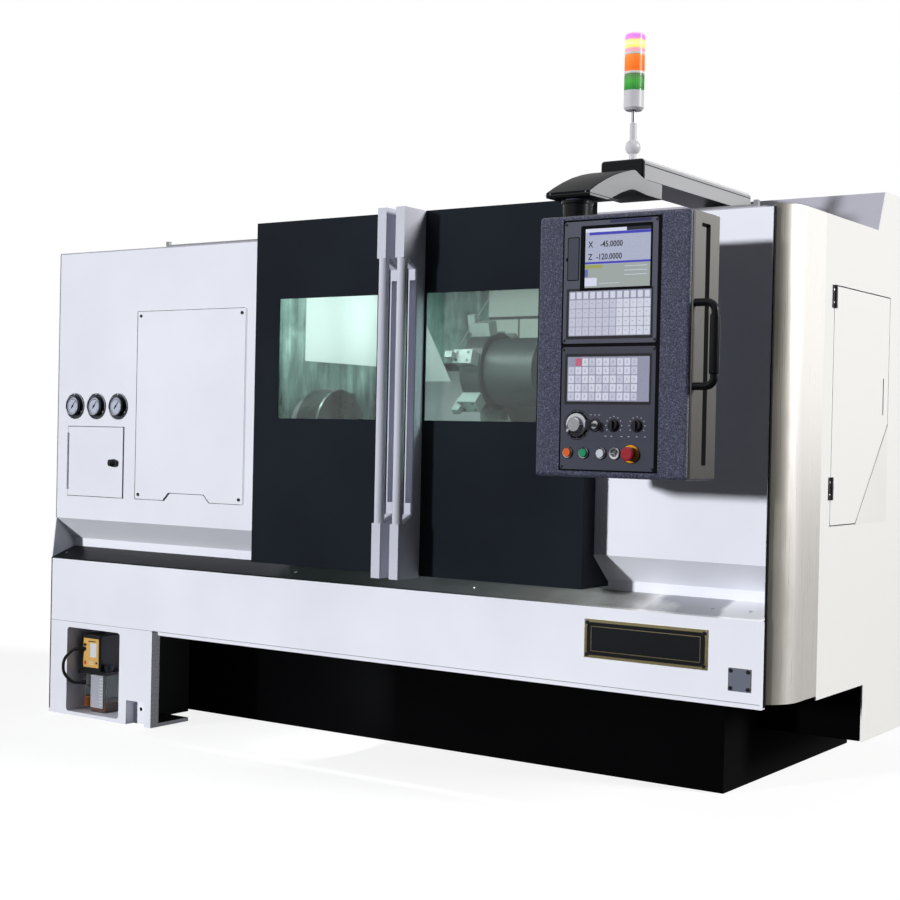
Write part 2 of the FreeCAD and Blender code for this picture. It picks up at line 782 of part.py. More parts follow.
def data_plates():
    thick = size("plate_thick")
    parts = []
    for name in ("plate", "label"):
        corner = (across(front_end() - size(name + "_inset")), back(-thick),
                  size(name + "_low"))
        parts.append(box(name + "_blank", corner,
                         (size(name + "_width"), thick, size(name + "_height"))))
    node("data_plates", group("plate_pair", parts))


def pressure_gauges():
    flange = size("gauge_flange")
    bezel = size("gauge_bezel")
    dial = size("gauge_dial")
    proud = size("gauge_proud")
    body = size("gauge_body")
    profile = [(0, -30), (body, -30), (body, 0), (flange, 0), (flange, 3), (bezel, 3),
               (bezel, proud - 2), (bezel - 2, proud), (dial, proud), (dial, proud - 4),
               (0, proud - 4)]
    gauges = []
    for index, x in enumerate(gauge_places()):
        corner = (across(x), back(size("panel_setback")), gauge_line())
        gauges.append(turned("gauge_%d" % index, profile, corner, axis="-y"))
    node("pressure_gauges", group("gauge_row", gauges))


def hatch_door():
    wall = size("sheet_wall")
    lap = size("hatch_lap")
    left = size("hatch_left")
    face = back(size("panel_setback") - wall)
    sheet = box("hatch_sheet", (across(left), face, size("hatch_low")),
                (size("hatch_width"), wall, size("hatch_height")))
    fold = box("hatch_fold", (across(left + 2 * lap), face + wall,
                              size("hatch_low") + 2 * lap),
               (size("hatch_width") - 4 * lap, 3 * lap, size("hatch_height") - 4 * lap))
    hollow = box("hatch_hollow", (across(left + 2 * lap + 2), face + wall,
                                  size("hatch_low") + 2 * lap + 2),
                 (size("hatch_width") - 4 * lap - 4, 3 * lap + 1,
                  size("hatch_height") - 4 * lap - 4))
    radius = size("hinge_radius")
    barrel = rod("hatch_barrel", (across(left), face - radius + 1,
                                  size("hatch_low") + 20),
                 radius, size("hatch_height") - 40)
    shell = cut("hatch_shell", fuse("hatch_pan", [sheet, fold]), [hollow])
    pin_hole = rod("hatch_pin_hole", latch_spot(-1), size("latch_pin") + 0.3,
                   wall + 2, axis="y")
    node("hatch_door", cut("hatch_cut", fuse("hatch_hinged", [shell, barrel]), [pin_hole]))


def latch_spot(inward):
    face = size("panel_setback") - size("sheet_wall")
    return (across(size("hatch_left") + size("latch_across")), back(face + inward),
            size("hatch_low") + size("latch_up"))


def hatch_latch():
    proud = size("latch_proud")
    x, y, z = latch_spot(0)
    grip = box_body("latch_grip", (x - size("latch_width") / 2, y - proud - 0.2,
                                   z - size("latch_height") / 2),
                    (size("latch_width"), proud, size("latch_height")))
    rounded(grip, "latch_round", 9, lambda middle, way: abs(way.y) > 0.99)
    pin = rod("latch_stem", (x, y - 2, z), size("latch_pin"), size("sheet_wall") + 10,
              axis="y")
    washer = rod("latch_washer", (x, y + size("sheet_wall") + 0.2, z),
                 size("latch_pin") + 4, 3, axis="y")
    node("hatch_latch", fuse("latch_turn", [grip, pin, washer]))


# ---------------------------------------------------------------- lubrication unit

def oil_tank():
    wall = size("tank_wall")
    low = size("bay_floor")
    x = across(size("tank_left"))
    y = back(size("pump_front"))
    extent = (size("tank_width"), size("pump_depth"), size("lid_low") - low)
    body = box_body("tank_body", (x, y, low), extent)
    rounded(body, "tank_round", size("pump_round"), lambda middle, way: abs(way.z) > 0.99)
    hollow = box("tank_hollow", (x + wall, y + wall, low + wall),
                 (extent[0] - 2 * wall, extent[1] - 2 * wall, extent[2]))
    cup_high = size("cup_high")
    bowl = rod("filter_bowl", (across(size("bowl_across")), back(size("bowl_back")),
                               cup_high),
               size("bowl_radius"), size("head_low") - cup_high)
    node("oil_tank", group("clear_pair", [cut("tank_cut", body, [hollow]), bowl]))


GLAND_WAY = (-0.562, -0.827, 0)


def gland_start():
    """World X and Y where the two cable glands leave the pump and the filter head."""
    return (across(size("bowl_across") - size("bowl_radius") * 0.3),
            back(size("pump_front") + size("pump_round")))


def gland(name, z):
    x, y = gland_start()
    item = DOC.addObject("Part::Cylinder", name)
    bind(item, "Radius", size("gland_radius"))
    bind(item, "Height", size("gland_length"))
    spin = FreeCAD.Rotation(FreeCAD.Vector(0, 0, 1), FreeCAD.Vector(*GLAND_WAY))
    item.Placement = FreeCAD.Placement(FreeCAD.Vector(), spin)
    bind(item, "Placement.Base.x", x)
    bind(item, "Placement.Base.y", y)
    bind(item, "Placement.Base.z", z)
    return item


def pump_box():
    over = size("lid_over")
    x = across(size("pump_left"))
    y = back(size("pump_front"))
    lid_high = size("lid_low") + size("lid_thick")
    body = box_body("pump_body", (x, y, lid_high),
                    (size("pump_width"), size("pump_depth"), size("pump_height")))
    rounded(body, "pump_round_top", size("pump_round"),
            lambda middle, way: middle.z > size("pump_height").value - 1
            or abs(way.z) > 0.99)
    right = across(size("tank_left") + size("tank_width"))
    lid = box("pump_lid", (x - over, y - over, size("lid_low")),
              (right - x + 2 * over, size("pump_depth") + 2 * over, size("lid_thick")))
    head = rod("filter_head", (across(size("bowl_across")), back(size("bowl_back")),
                               size("head_low")),
               size("head_radius"), size("lid_low") - size("head_low"))
    glands = [gland("gland_top", size("cable_top")), gland("gland_foot", size("cable_foot"))]
    node("pump_box", fuse("pump_fold", [body, lid, head] + glands))


def tank_caps():
    radius = size("cap_radius")
    top = size("lid_low") + size("lid_thick")
    cap = turned("filler_cap", [(0, 0), (radius - 3, 0), (radius - 3, 6), (radius, 6),
                                (radius, 20), (radius - 2, 22), (0, 22)],
                 (across(size("tank_left") + size("tank_width")) - radius + 3,
                  back(size("pump_front")) + radius + 8, top))
    cup = size("cup_radius")
    tall = size("cup_high") - size("cup_low")
    bowl = turned("filter_cup", [(0, 0), (cup - 5, 0), (cup, 5), (cup, tall - 4),
                                 (cup - 2, tall), (0, tall)],
                  (across(size("bowl_across")), back(size("bowl_back")), size("cup_low")))
    node("tank_caps", group("cap_pair", [cap, bowl]))


def bent_tube(label, route, radius, ratio=0.45):
    """Round tube along straight runs joined by tangent arcs."""
    points = [FreeCAD.Vector(*spot) for spot in route]
    edges = []
    here = points[0]
    for before, corner, after in zip(points, points[1:], points[2:]):
        run_in = corner - before
        run_out = after - corner
        turn = run_in.getAngle(run_out)
        reach = ratio * min(run_in.Length, run_out.Length)
        leave = corner - run_in.normalize() * reach
        rejoin = corner + run_out.normalize() * reach
        bend = reach / math.tan(turn / 2)
        inward = (rejoin + leave) * 0.5 - corner
        centre = corner + inward.normalize() * math.hypot(bend, reach)
        middle = centre - inward.normalize() * bend
        edges.append(Part.LineSegment(here, leave).toShape())
        edges.append(Part.Arc(leave, middle, rejoin).toShape())
        here = rejoin
        print(label, "bend radius", round(bend, 1))
    edges.append(Part.LineSegment(here, points[-1]).toShape())
    path = Part.Wire(edges)
    ring_wire = Part.Wire([Part.Circle(points[0], points[1] - points[0],
                                       radius).toShape()])
    tube = path.makePipeShell([ring_wire], True, False)
    expected = math.pi * radius ** 2 * path.Length
    if abs(tube.Volume - expected) > 0.01 * expected:
        raise ValueError("tube %s: volume %.1f, expected %.1f"
                         % (label, tube.Volume, expected))
    item = DOC.addObject("Part::Feature", label + "_tube")
    item.Shape = tube
    return item


def pump_cable():
    """Loop that bulges out of the bay, from the pump's gland to the filter's gland."""
    x, y = [length.value for length in gland_start()]
    out_x, out_y, _ = GLAND_WAY
    gland_end = size("gland_length").value
    top = size("cable_top").value
    foot = size("cable_foot").value
    corner = 32
    reaches = [(0, top), (28.5, top), (28.5 + corner, top - corner),
               (28.5 + corner, foot + corner), (28.5, foot), (0, foot)]
    route = [(x + out_x * (gland_end + reach), y + out_y * (gland_end + reach), z)
             for reach, z in reaches]
    node("pump_cable", bent_tube("cable", route, size("cable_radius").value))


# ---------------------------------------------------------------- doors

def door_profile(deep):
    """End plate of a door, following the panel, slope and recess behind it."""
    clear = size("door_clear")
    proud = size("door_proud")
    reach = size("panel_setback") - clear
    inner = size("recess_depth") - clear
    return [(-proud, size("door_low")), (inner, size("door_low")),
            (inner, size("slope_foot") - clear / 2), (reach, size("slope_top") - clear / 2),
            (reach, size("roof_height") - clear), (deep - proud, size("roof_height")),
            (deep - proud, door_top()), (-proud, door_top())]


def sliding_door(side, start, stop, window_start, end_plate_x, hanger_starts):
    wall = size("sheet_wall")
    low = size("door_low")
    high = door_top()
    face = rectangle(start, low, stop - start, high - low)
    window = rectangle(window_start, size("window_low"), size("window_width"),
                       size("window_high") - size("window_low"))
    y = back(-size("door_proud"))
    skin = prism(side + "_skin", "XZ_Plane", face, wall,
                 (across(0), y, as_length(0)), holes=[window])
    deep = size("door_depth")
    lap = size("glass_lap")
    inner = rectangle(start + wall, low + wall, stop - start - 2 * wall,
                      high - low - 2 * wall)
    edge = prism(side + "_edge", "XZ_Plane", face, deep, (across(0), y, as_length(0)),
                 holes=[inner])
    frame_hole = rectangle(window_start - lap, size("window_low") - lap,
                           size("window_width") + 2 * lap,
                           size("window_high") - size("window_low") + 2 * lap)
    frame_rim = rectangle(window_start - 2 * lap, size("window_low") - 2 * lap,
                          size("window_width") + 4 * lap,
                          size("window_high") - size("window_low") + 4 * lap)
    rim = prism(side + "_rim", "XZ_Plane", frame_rim, size("glass_thick"),
                (across(0), y + wall, as_length(0)), holes=[frame_hole])
    plate = prism(side + "_end", "YZ_Plane", door_profile(deep), wall,
                  (across(end_plate_x), back(0), as_length(0)))
    parts = [skin, edge, rim, plate]
    top = size("roof_height") + wall + size("rail_height")
    for index, x in enumerate(hanger_starts):
        lift = top + size("run_clear")
        rail = size("rail_back")
        arm = box("%s_hanger_%d" % (side, index),
                  (across(x), back(deep - size("door_proud") - 1), lift + 2),
                  (size("hanger_width"), rail - 2 - deep + size("door_proud") + 1,
                   2 * size("roller_radius") - 2))
        roller = rod("%s_roller_%d" % (side, index),
                     (across(x + size("hanger_width") / 2), back(rail - 4),
                      lift + size("roller_radius")),
                     size("roller_radius"), size("rail_width") + 4, axis="y")
        parts += [arm, roller]
    node(side + "_door", fuse(side + "_door_frame", parts))


def door_window(side, window_start):
    lap = size("glass_lap") - 0.5
    corner = (across(window_start - lap), back(-size("door_proud") + size("sheet_wall")),
              size("window_low") - lap)
    extent = (size("window_width") + 2 * lap, size("glass_thick"),
              size("window_high") - size("window_low") + 2 * lap)
    node(side + "_window", box(side + "_glass", corner, extent))


def door_handle(side, start):
    """Full-height pull: two end blocks, a round grip and the channel behind it."""
    low = size("door_low") - size("handle_drop")
    high = door_top()
    reach = size("handle_reach")
    proud = size("door_proud")
    deep = size("channel_depth")
    slant = size("end_chamfer")
    grip_low = size("grip_low")
    grip_high = size("grip_high")
    front = -proud - reach
    rear = -proud
    seat = rear - deep
    points = [(front, low), (rear, low), (rear, high), (front, high),
              (front, grip_high), (front + slant, grip_high), (seat, grip_high - slant),
              (seat, grip_low + slant), (front + slant, grip_low), (front, grip_low)]
    width = size("handle_width")
    frame = prism(side + "_pull", "YZ_Plane", points, width,
                  (across(start), back(0), as_length(0)))
    radius = size("grip_radius")
    bar = rod(side + "_bar", (across(start) + width / 2, back(front) + radius,
                              grip_low - 20),
              radius, grip_high - grip_low + 40)
    wall = size("sheet_wall")
    groove = box(side + "_groove", (across(start) + wall, back(seat) - 1,
                                    grip_low + slant + 30),
                 (width - 2 * wall, deep - wall + 1, grip_high - grip_low - 2 * slant - 60))
    body = cut(side + "_pull_cut", frame, [groove])
    node(side + "_handle", fuse(side + "_handle_fold", [body, bar]))


def doors():
    gap = size("door_gap") / 2
    wall = size("sheet_wall")
    lap = size("door_lap")
    left = size("opening_left") - lap
    right = opening_end() + lap
    meet = (left + right) / 2
    left_window = left + size("left_window_inset")
    right_window = meet + size("right_window_inset")
    inset = size("hanger_inset")
    wide = size("hanger_width")
    sliding_door("left", left, meet - gap, left_window, left,
                 [left + inset, meet - inset - wide])
    door_window("left", left_window)
    door_handle("left", meet - size("left_handle_inset"))
    sliding_door("right", meet + gap, right, right_window, right - wall,
                 [meet + inset, right - inset - wide])
    door_window("right", right_window)
    door_handle("right", meet + size("right_handle_inset"))


def side_door():
    wall = size("sheet_wall")
    gap = size("side_door_gap")
    front = size("side_door_front") + gap
    low = size("side_door_low") + gap
    wide = size("side_door_width") - 2 * gap
    tall = size("side_door_height") - 2 * gap
    x = size("machine_length") - wall
    face = rectangle(front, low, wide, tall)
    slot = rectangle(front + size("pull_back"), low + size("pull_low"), size("pull_width"),
                     size("pull_height"))
    sheet = prism("side_door_sheet", "YZ_Plane", face, wall,
                  (across(x), back(0), as_length(0)), holes=[slot])
    cup = box("side_pull_cup", (across(x - 8), back(front + size("pull_back") - 3),
                                low + size("pull_low") - 3),
              (as_length(8), size("pull_width") + 6, size("pull_height") + 6))
    leaves = []
    for name in ("side_hinge_low", "side_hinge_high"):
        leaves += moving_leaf(name)
    node("side_door", fuse("side_door_fold", [sheet, cup] + leaves))


# ---------------------------------------------------------------- boom and stack light

def boom_arm():
    start = size("boom_front")
    low = boom_low()
    edge = size("boom_edge")
    wide = size("boom_width")
    high = boom_high() - low
    points = [(0, 0), (wide, 0), (wide, high - edge), (wide - edge, high), (edge, high),
              (0, high - edge)]
    beam = prism("boom_beam", "XZ_Plane", points, size("boom_back") - start,
                 (across(boom_start()), back(start), low))
    foot = size("roof_height") + size("sheet_wall") + size("run_clear")
    post = rod("boom_post", (across(boom_start() + wide / 2),
                             back(size("post_back")), foot),
               size("post_radius"), low - foot + edge)
    node("boom_arm", fuse("boom_weld", [beam, post]))


def boom_elbow():
    front = size("elbow_front")
    low = elbow_low()
    deck = boom_low()
    arch = deck - size("arch_drop")
    peak = deck + size("peak_rise")
    peak_back = size("elbow_peak_back")
    nose = low + size("elbow_nose")
    rise = peak - nose
    run = peak_back - front
    points = [(front, low), (front + run * 0.42, low), (peak_back, arch),
              (size("elbow_back"), arch), (size("elbow_back"), deck),
              (size("boom_front") - 14, deck), (peak_back, peak),
              (front + run * 0.69, nose + rise * 0.82),
              (front + run * 0.34, nose + rise * 0.5), (front, nose)]
    body = prism("elbow_cast", "YZ_Plane", points, size("boom_width"),
                 (across(boom_start()), back(0), as_length(0)))
    rounded(body, "elbow_round", size("elbow_round"),
            lambda middle, way: abs(way.x) > 0.99
            and middle.z > boom_low().value + 5)
    node("boom_elbow", body)


def stack_light():
    x = across(boom_start() + size("boom_width") / 2)
    y = back(size("stack_back"))
    base_z = boom_high()
    foot = size("stack_foot")
    ball = size("stack_ball")
    sleeve = size("stack_sleeve")
    rise = size("stack_rise")
    wide = size("stack_radius")
    step = size("stack_foot_height")
    post = turned("stack_post", [(0, 0), (foot, 0), (foot, step + 4), (sleeve, step + 8),
                                 (sleeve, rise - 34), (size("stack_rod"), rise - 30),
                                 (size("stack_rod"), rise), (wide - 5, rise),
                                 (wide, rise + 6), (wide, rise + size("stack_base")),
                                 (0, rise + size("stack_base"))], (x, y, base_z))
    knuckle = DOC.addObject("Part::Sphere", "stack_knuckle")
    bind(knuckle, "Radius", ball)
    place(knuckle, x, y, base_z + step + ball)
    node("stack_pole", fuse("stack_stem", [post, knuckle]))
    lenses = []
    pitch = size("lens_height")
    groove = size("lens_ring")
    for index in range(3):
        low = rise + size("stack_base") + pitch * index
        top = low + pitch
        profile = [(0, low), (wide - 2, low), (wide - 2, low + groove / 2),
                   (wide, low + groove / 2), (wide, top - groove / 2),
                   (wide - 2, top - groove / 2 + 1), (wide - 2, top), (0, top)]
        lenses.append(turned("lens_%d" % index, profile, (x, y, base_z)))
    node("stack_lenses", group("lens_stack", lenses))


# ---------------------------------------------------------------- pendant

def pendant_point(u, v):
    """World X and Z of a place on the pendant's face, from its lower left corner."""
    return across(pendant_start() + u), pendant_low() + v


def inset_face():
    return back(-size("pendant_proud") + size("inset_depth"))


def stem_spots():
    row = size("dial_row")
    buttons = size("button_row")
    return [(size("wheel_across"), row), (size("key_across"), row),
            (size("left_knob_across"), row), (size("right_knob_across"), row),
            (size("orange_across"), buttons), (size("green_across"), buttons),
            (size("white_across"), buttons), (size("estop_across"), buttons)]


def pendant_case():
    x, z = pendant_point(0, 0)
    y = back(-size("pendant_proud"))
    body = box_body("pendant_shell", (x, y, z),
                    (size("pendant_width"), size("pendant_depth"),
                     size("pendant_height")))
    rounded(body, "pendant_edges", size("pendant_round"),
            lambda middle, way: middle.y < 1 or abs(way.y) > 0.99)
    inset_x, inset_z = pendant_point(size("inset_left"), size("inset_low"))
    inset = box("pendant_inset", (inset_x, y - 1, inset_z),
                (size("inset_width"), size("inset_depth") + 1, size("inset_height")))
    bores = []
    for index, (u, v) in enumerate(stem_spots()):
        hole_x, hole_z = pendant_point(u, v)
        bores.append(rod("stem_bore_%d" % index, (hole_x, y, hole_z),
                         size("stem_radius") + size("run_clear"),
                         size("inset_depth") + size("stem_depth") + 8, axis="y"))
    neck = rod("pendant_neck", (across(boom_start() + size("boom_width") / 2),
                                back(-size("neck_back")),
                                pendant_low() + size("pendant_height")),
               size("neck_radius"),
               elbow_low() - pendant_low() - size("pendant_height")
               - size("run_clear"))
    lamp_x, lamp_z = pendant_point(size("lamp_across"), size("button_row"))
    lamp = rod("pendant_lamp", (lamp_x, inset_face() - size("ring_height"), lamp_z),
               size("ring_radius"), size("ring_height"), axis="y")
    shell = cut("pendant_cut", body, [inset] + bores)
    node("pendant_case", fuse("pendant_weld", [shell, neck, lamp]))


def pendant_bracket():
    wall = size("sheet_wall")
    margin = size("pendant_round")
    deep = size("pendant_depth")
    tall = size("pendant_height")
    slot = size("bracket_slot")
    low = pendant_low()
    face = rectangle(margin, low + margin / 2, deep - margin, tall - margin)
    upright = deep * 0.72
    high = low + tall - 26
    ell = [(upright, low + 27), (upright + slot, low + 27), (upright + slot, high),
           (deep * 0.27, high), (deep * 0.27, high - slot), (upright, high - slot)]
    node("pendant_bracket",
         prism("bracket_sheet", "YZ_Plane", face, wall,
               (across(pendant_start() + size("pendant_width")),
                back(-size("pendant_proud")), as_length(0)), holes=[ell]))


def grip_corner(name, x, y, z, turn_deg):
    """Quarter bend of the pendant's grab handle, in the XZ plane."""
    item = DOC.addObject("Part::Torus", name)
    bind(item, "Radius1", size("grip_bend"))
    bind(item, "Radius2", size("grip_rod"))
    item.Angle3 = 90
    first = FreeCAD.Rotation(FreeCAD.Vector(1, 0, 0), 90)
    second = FreeCAD.Rotation(FreeCAD.Vector(0, 1, 0), turn_deg)
    item.Placement = FreeCAD.Placement(FreeCAD.Vector(), second.multiply(first))
    bind(item, "Placement.Base.x", x)
    bind(item, "Placement.Base.y", y)
    bind(item, "Placement.Base.z", z)
    return item


def pendant_handle():
    bend = size("grip_bend")
    radius = size("grip_rod")
    x = across(pendant_start() + size("pendant_width") + size("sheet_wall"))
    y = back(-size("pendant_proud")) + size("pendant_round") + radius + 4
    low = pendant_low() + size("grip_foot")
    high = low + size("grip_span")
    reach = size("grip_out") - bend
    parts = [rod("grip_leg_low", (x, y, low), radius, reach, axis="x"),
             rod("grip_leg_high", (x, y, high), radius, reach, axis="x"),
             rod("grip_run", (x + size("grip_out"), y, low + bend), radius,
                 high - low - 2 * bend),
             grip_corner("grip_bend_low", x + reach, y, low + bend, 90),
             grip_corner("grip_bend_high", x + reach, y, high - bend, 0),
             rod("grip_boss_low", (x, y, low), radius + 4, as_length(3), axis="x"),
             rod("grip_boss_high", (x, y, high), radius + 4, as_length(3), axis="x")]
    node("pendant_handle", fuse("grip_weld", parts))


def pendant_face_parts():
    thick = size("pad_thick")
    x, z = pendant_point(size("screen_left"), size("screen_low"))
    node("screen", box("screen_glass", (x, inset_face() - thick, z),
                       (size("screen_width"), thick, size("screen_height"))))
    pads = []
    for name in ("upper_pad_low", "lower_pad_low"):
        x, z = pendant_point(size("pad_left"), size(name))
        pads.append(box(name + "_sheet", (x, inset_face() - thick, z),
                        (size("pad_width"), thick, size("pad_height"))))
    node("keypads", group("keypad_pair", pads))


def stem_profile(head, head_height):
    """Turned control: a stem in its bore and a domed head, heights along -Y."""
    stem = size("stem_radius")
    clear = as_length(0.2)
    return [(0, -size("stem_depth")), (stem, -size("stem_depth")), (stem, clear),
            (head, clear), (head, head_height - 2), (head - 2, head_height),
            (0, head_height)]


def handwheel():
    x, z = pendant_point(size("wheel_across"), size("dial_row"))
    radius = size("wheel_radius")
    dish = size("wheel_dish")
    tall = size("wheel_height")
    stem = size("stem_radius")
    profile = [(0, -size("stem_depth")), (stem, -size("stem_depth")), (stem, 0.2),
               (radius, 0.2), (radius, 7), (dish + 3, 9), (dish, tall - 2),
               (dish - 2, tall), (0, tall)]
    wheel = turned("wheel_turned", profile, (x, inset_face(), z), axis="-y")
    crank = size("crank_radius")
    knob = turned("wheel_crank", [(0, 6), (crank - 1, 6), (crank - 1, 9), (crank, 10),
                                  (crank, 7 + size("crank_height") - 2),
                                  (crank - 2, 7 + size("crank_height")),
                                  (0, 7 + size("crank_height"))],
                  (x - radius * 0.55, inset_face(), z - radius * 0.55), axis="-y")
    node("handwheel", fuse("wheel_fold", [wheel, knob]))


def selector_knob(side):
    x, z = pendant_point(size(side + "_knob_across"), size("dial_row"))
    radius = size("knob_radius")
    body = turned(side + "_knob_body", stem_profile(radius, size("knob_height") * 0.6),
                  (x, inset_face(), z), axis="-y")
    ridge = box(side + "_knob_ridge", (x - 3, inset_face() - size("knob_height"),
                                       z - radius + 1),
                (as_length(6), size("knob_height") - 2, 2 * radius - 2))
    node(side + "_knob", fuse(side + "_knob_fold", [body, ridge]))


def key_switch():
    x, z = pendant_point(size("key_across"), size("dial_row"))
    body = turned("key_barrel", stem_profile(size("button_radius"), as_length(7)),
                  (x, inset_face(), z), axis="-y")
    blade = box("key_blade", (x - 1, inset_face() - 30, z - 4), (2, 24, 8))
    bow = box_body("key_bow", (x - 1.5, inset_face() - 50, z - 11), (3, 22, 22))
    rounded(bow, "key_bow_round", 6, lambda middle, way: abs(way.x) > 0.99)
    node("key_switch", fuse("key_fold", [body, blade, bow]))


def push_button(name, u, head, proud):
    x, z = pendant_point(u, size("button_row"))
    travel = as_length(5)
    stem = size("stem_radius")
    depth = size("stem_depth")
    neck = stem + 3 if name == "estop" else head
    profile = [(0, -depth), (stem, -depth), (stem, travel), (neck, travel),
               (neck, proud * 0.5), (head, proud * 0.5 + 1), (head, proud - 3),
               (head - 3, proud), (0, proud)]
    if name != "estop":
        profile = [(0, -depth), (stem, -depth), (stem, travel), (head, travel),
                   (head, proud - 1), (head - 1, proud), (0, proud)]
    node(name, turned(name + "_turned", profile, (x, inset_face(), z), axis="-y"))


def pendant():
    pendant_case()
    pendant_bracket()
    pendant_handle()
    pendant_face_parts()
    handwheel()
    selector_knob("left")
    selector_knob("right")
    key_switch()
    for colour in ("orange", "green", "white"):
        push_button(colour + "_button", size(colour + "_across"), size("button_radius"),
                    size("button_proud"))
    push_button("estop", size("estop_across"), size("estop_radius"), size("estop_proud"))


# ---------------------------------------------------------------- bed and work chamber

def chamber_end():
    return opening_end() + size("chamber_margin")


def bed():
    left = size("bed_left")
    right = chamber_end() - size("bed_end_gap")
    low_y, low_z = slope_point(-size("bed_front_run"), 0)
    high_y, high_z = slope_point(size("bed_back_run"), 0)
    base = size("plinth_height")
    rear = back(size("bed_back"))
    points = [(low_y, base), (rear, base), (rear, high_z), (high_y, high_z), (low_y, low_z)]
    casting = prism("bed_casting", "YZ_Plane", points, right - left,
                    (across(left), as_length(0), as_length(0)))
    ways = []
    for name in ("way_low", "way_high"):
        run = size(name) - size("way_width") / 2
        ways.append(slope_box(name + "_bar", across(size("way_start")), run, -1,
                              (right - size("way_end_gap") - size("way_start"),
                               size("way_width"), size("way_height") + 1)))
    node("bed", fuse("bed_fold", [casting] + ways))


def chamber_liner():
    wall = size("sheet_wall")
    left = size("chamber_left")
    right = chamber_end()
    setback = size("panel_setback") + wall
    deep = size("recess_depth") + wall
    sill_z = size("sill_back_height") - wall
    roof = size("roof_height")
    bed_y, bed_z = slope_point(-size("bed_front_run"), 0)
    rise = size("chamber_lift") * cosine(size("slant_angle"))
    low_y = bed_y
    low_z = bed_z + 2 * rise
    back_y = back(size("chamber_back"))
    back_z = low_z + (back_y - low_y)
    points = [(back(setback), roof), (back(setback), size("slope_top") + wall),
              (back(deep), size("slope_foot") + wall), (back(deep), sill_z),
              (low_y, sill_z - 40), (low_y, low_z), (back_y, back_z), (back_y, roof)]
    nose = size("nose_radius") + size("nose_gap")
    walls = []
    for name, start, rings in (("left", left, [(spindle_line(), nose)]),
                               ("right", right, ())):
        walls.append(prism("bulkhead_" + name, "YZ_Plane", points, wall,
                           (across(start), as_length(0), as_length(0)), rings=rings))
    apron = [(back(deep), sill_z), (low_y, sill_z - 40), (low_y, sill_z - 40 - wall),
             (back(deep) - wall, sill_z - wall / 2), (back(deep) - wall, sill_z)]
    span = right + wall - left
    chute = prism("chip_apron", "YZ_Plane", apron, span,
                  (across(left), as_length(0), as_length(0)))
    rear = box("chamber_rear", (across(left), back_y - wall, back_z - wall),
               (span, wall, roof - back_z + wall))
    shelf = box("rear_shelf", (across(left), back_y - wall, back_z - wall),
                (span, back(size("bed_back")) - back_y + wall, wall))
    fall = size("rear_drop")
    drop = box("rear_apron", (across(left), back(size("bed_back")), back_z - fall),
               (span, wall, fall))
    node("chamber_liner", fuse("liner_fold", walls + [chute, rear, shelf, drop]))


# ---------------------------------------------------------------- spindle line

def headstock():
    half = size("head_half")
    left = size("head_left")
    length = size("chamber_left") - left
    angle = size("slant_angle")
    y, z = slope_point(-half, 0)
    points = [(0, 0), (2 * half, 0), (2 * half, size("head_height")),
              (0, size("head_height"))]
    body = prism("head_casting", "YZ_Plane", points, length, (across(left), y, z),
                 turn=angle)
    rounded(body, "head_round", size("head_round"),
            lambda middle, way: abs(way.x) > 0.99
            and middle.z > size("head_height").value - 1)
    centre_y, centre_z = spindle_line()
    nose = rod("head_nose", (across(left + length - 2), centre_y, centre_z),
               size("nose_radius"), size("nose_length") + 2, axis="x")
    bore = rod("head_bore", (across(left - 1), centre_y, centre_z),
               size("spindle_radius") + size("spindle_fit"),
               length + size("nose_length") + 2, axis="x")
    node("headstock", cut("head_cut", fuse("head_fold", [body, nose]), [bore]))


def spindle_motor():
    left = size("motor_left")
    length = size("head_left") - left
    offset = size("motor_offset")
    radius = size("motor_radius")
    can = slope_rod("motor_can", across(left), 0, offset, radius, length)
    flange = slope_rod("motor_flange", across(left + length - 12), 0, offset, radius + 5,
                       as_length(12))
    fins = [slope_rod("motor_fin_%d" % index, across(left + 170) + 18 * index, 0, offset,
                      radius + 4, as_length(5)) for index in range(4)]
    side = size("motor_box")
    lid = slope_box("motor_terminals", across(left + 60), -side / 2, offset + radius - 20,
                    (side, side, as_length(60)))
    node("spindle_motor", fuse("motor_fold", [can, flange, lid] + fins))


def spindle():
    y, z = spindle_line()
    rear = size("spindle_rear")
    bore = size("spindle_bore")
    radius = size("spindle_radius")
    face = size("chamber_left") + size("nose_length") + 2
    reach = face - rear
    flange = size("spindle_flange")
    thick = size("flange_thick")
    profile = [(bore, 0), (radius - 10, 0), (radius - 10, 60), (radius, 60),
               (radius, reach), (flange, reach), (flange, reach + thick),
               (bore, reach + thick)]
    node("spindle", turned("spindle_turned", profile, (across(rear), y, z), axis="x"))


def chuck_face():
    return (size("chamber_left") + size("nose_length") + 2 + size("flange_thick"))


JAW_ANGLES = (90, 210, 330)


def chuck():
    centre = spindle_line()
    radius = size("chuck_radius")
    length = size("chuck_length")
    profile = [(size("chuck_bore"), 0), (radius - 6, 0), (radius, 6), (radius, length - 4),
               (radius - 4, length), (size("chuck_bore"), length)]
    body = turned("chuck_turned", profile, (across(chuck_face()), centre[0], centre[1]),
                  axis="x")
    depth = size("jaw_slot_depth")
    slots = [spoke_box("jaw_slot_%d" % index, centre, angle,
                       across(chuck_face() + length - depth), size("chuck_bore") - 10,
                       (depth + 1, radius, size("jaw_width")))
             for index, angle in enumerate(JAW_ANGLES)]
    node("chuck", cut("chuck_cut", body, slots))


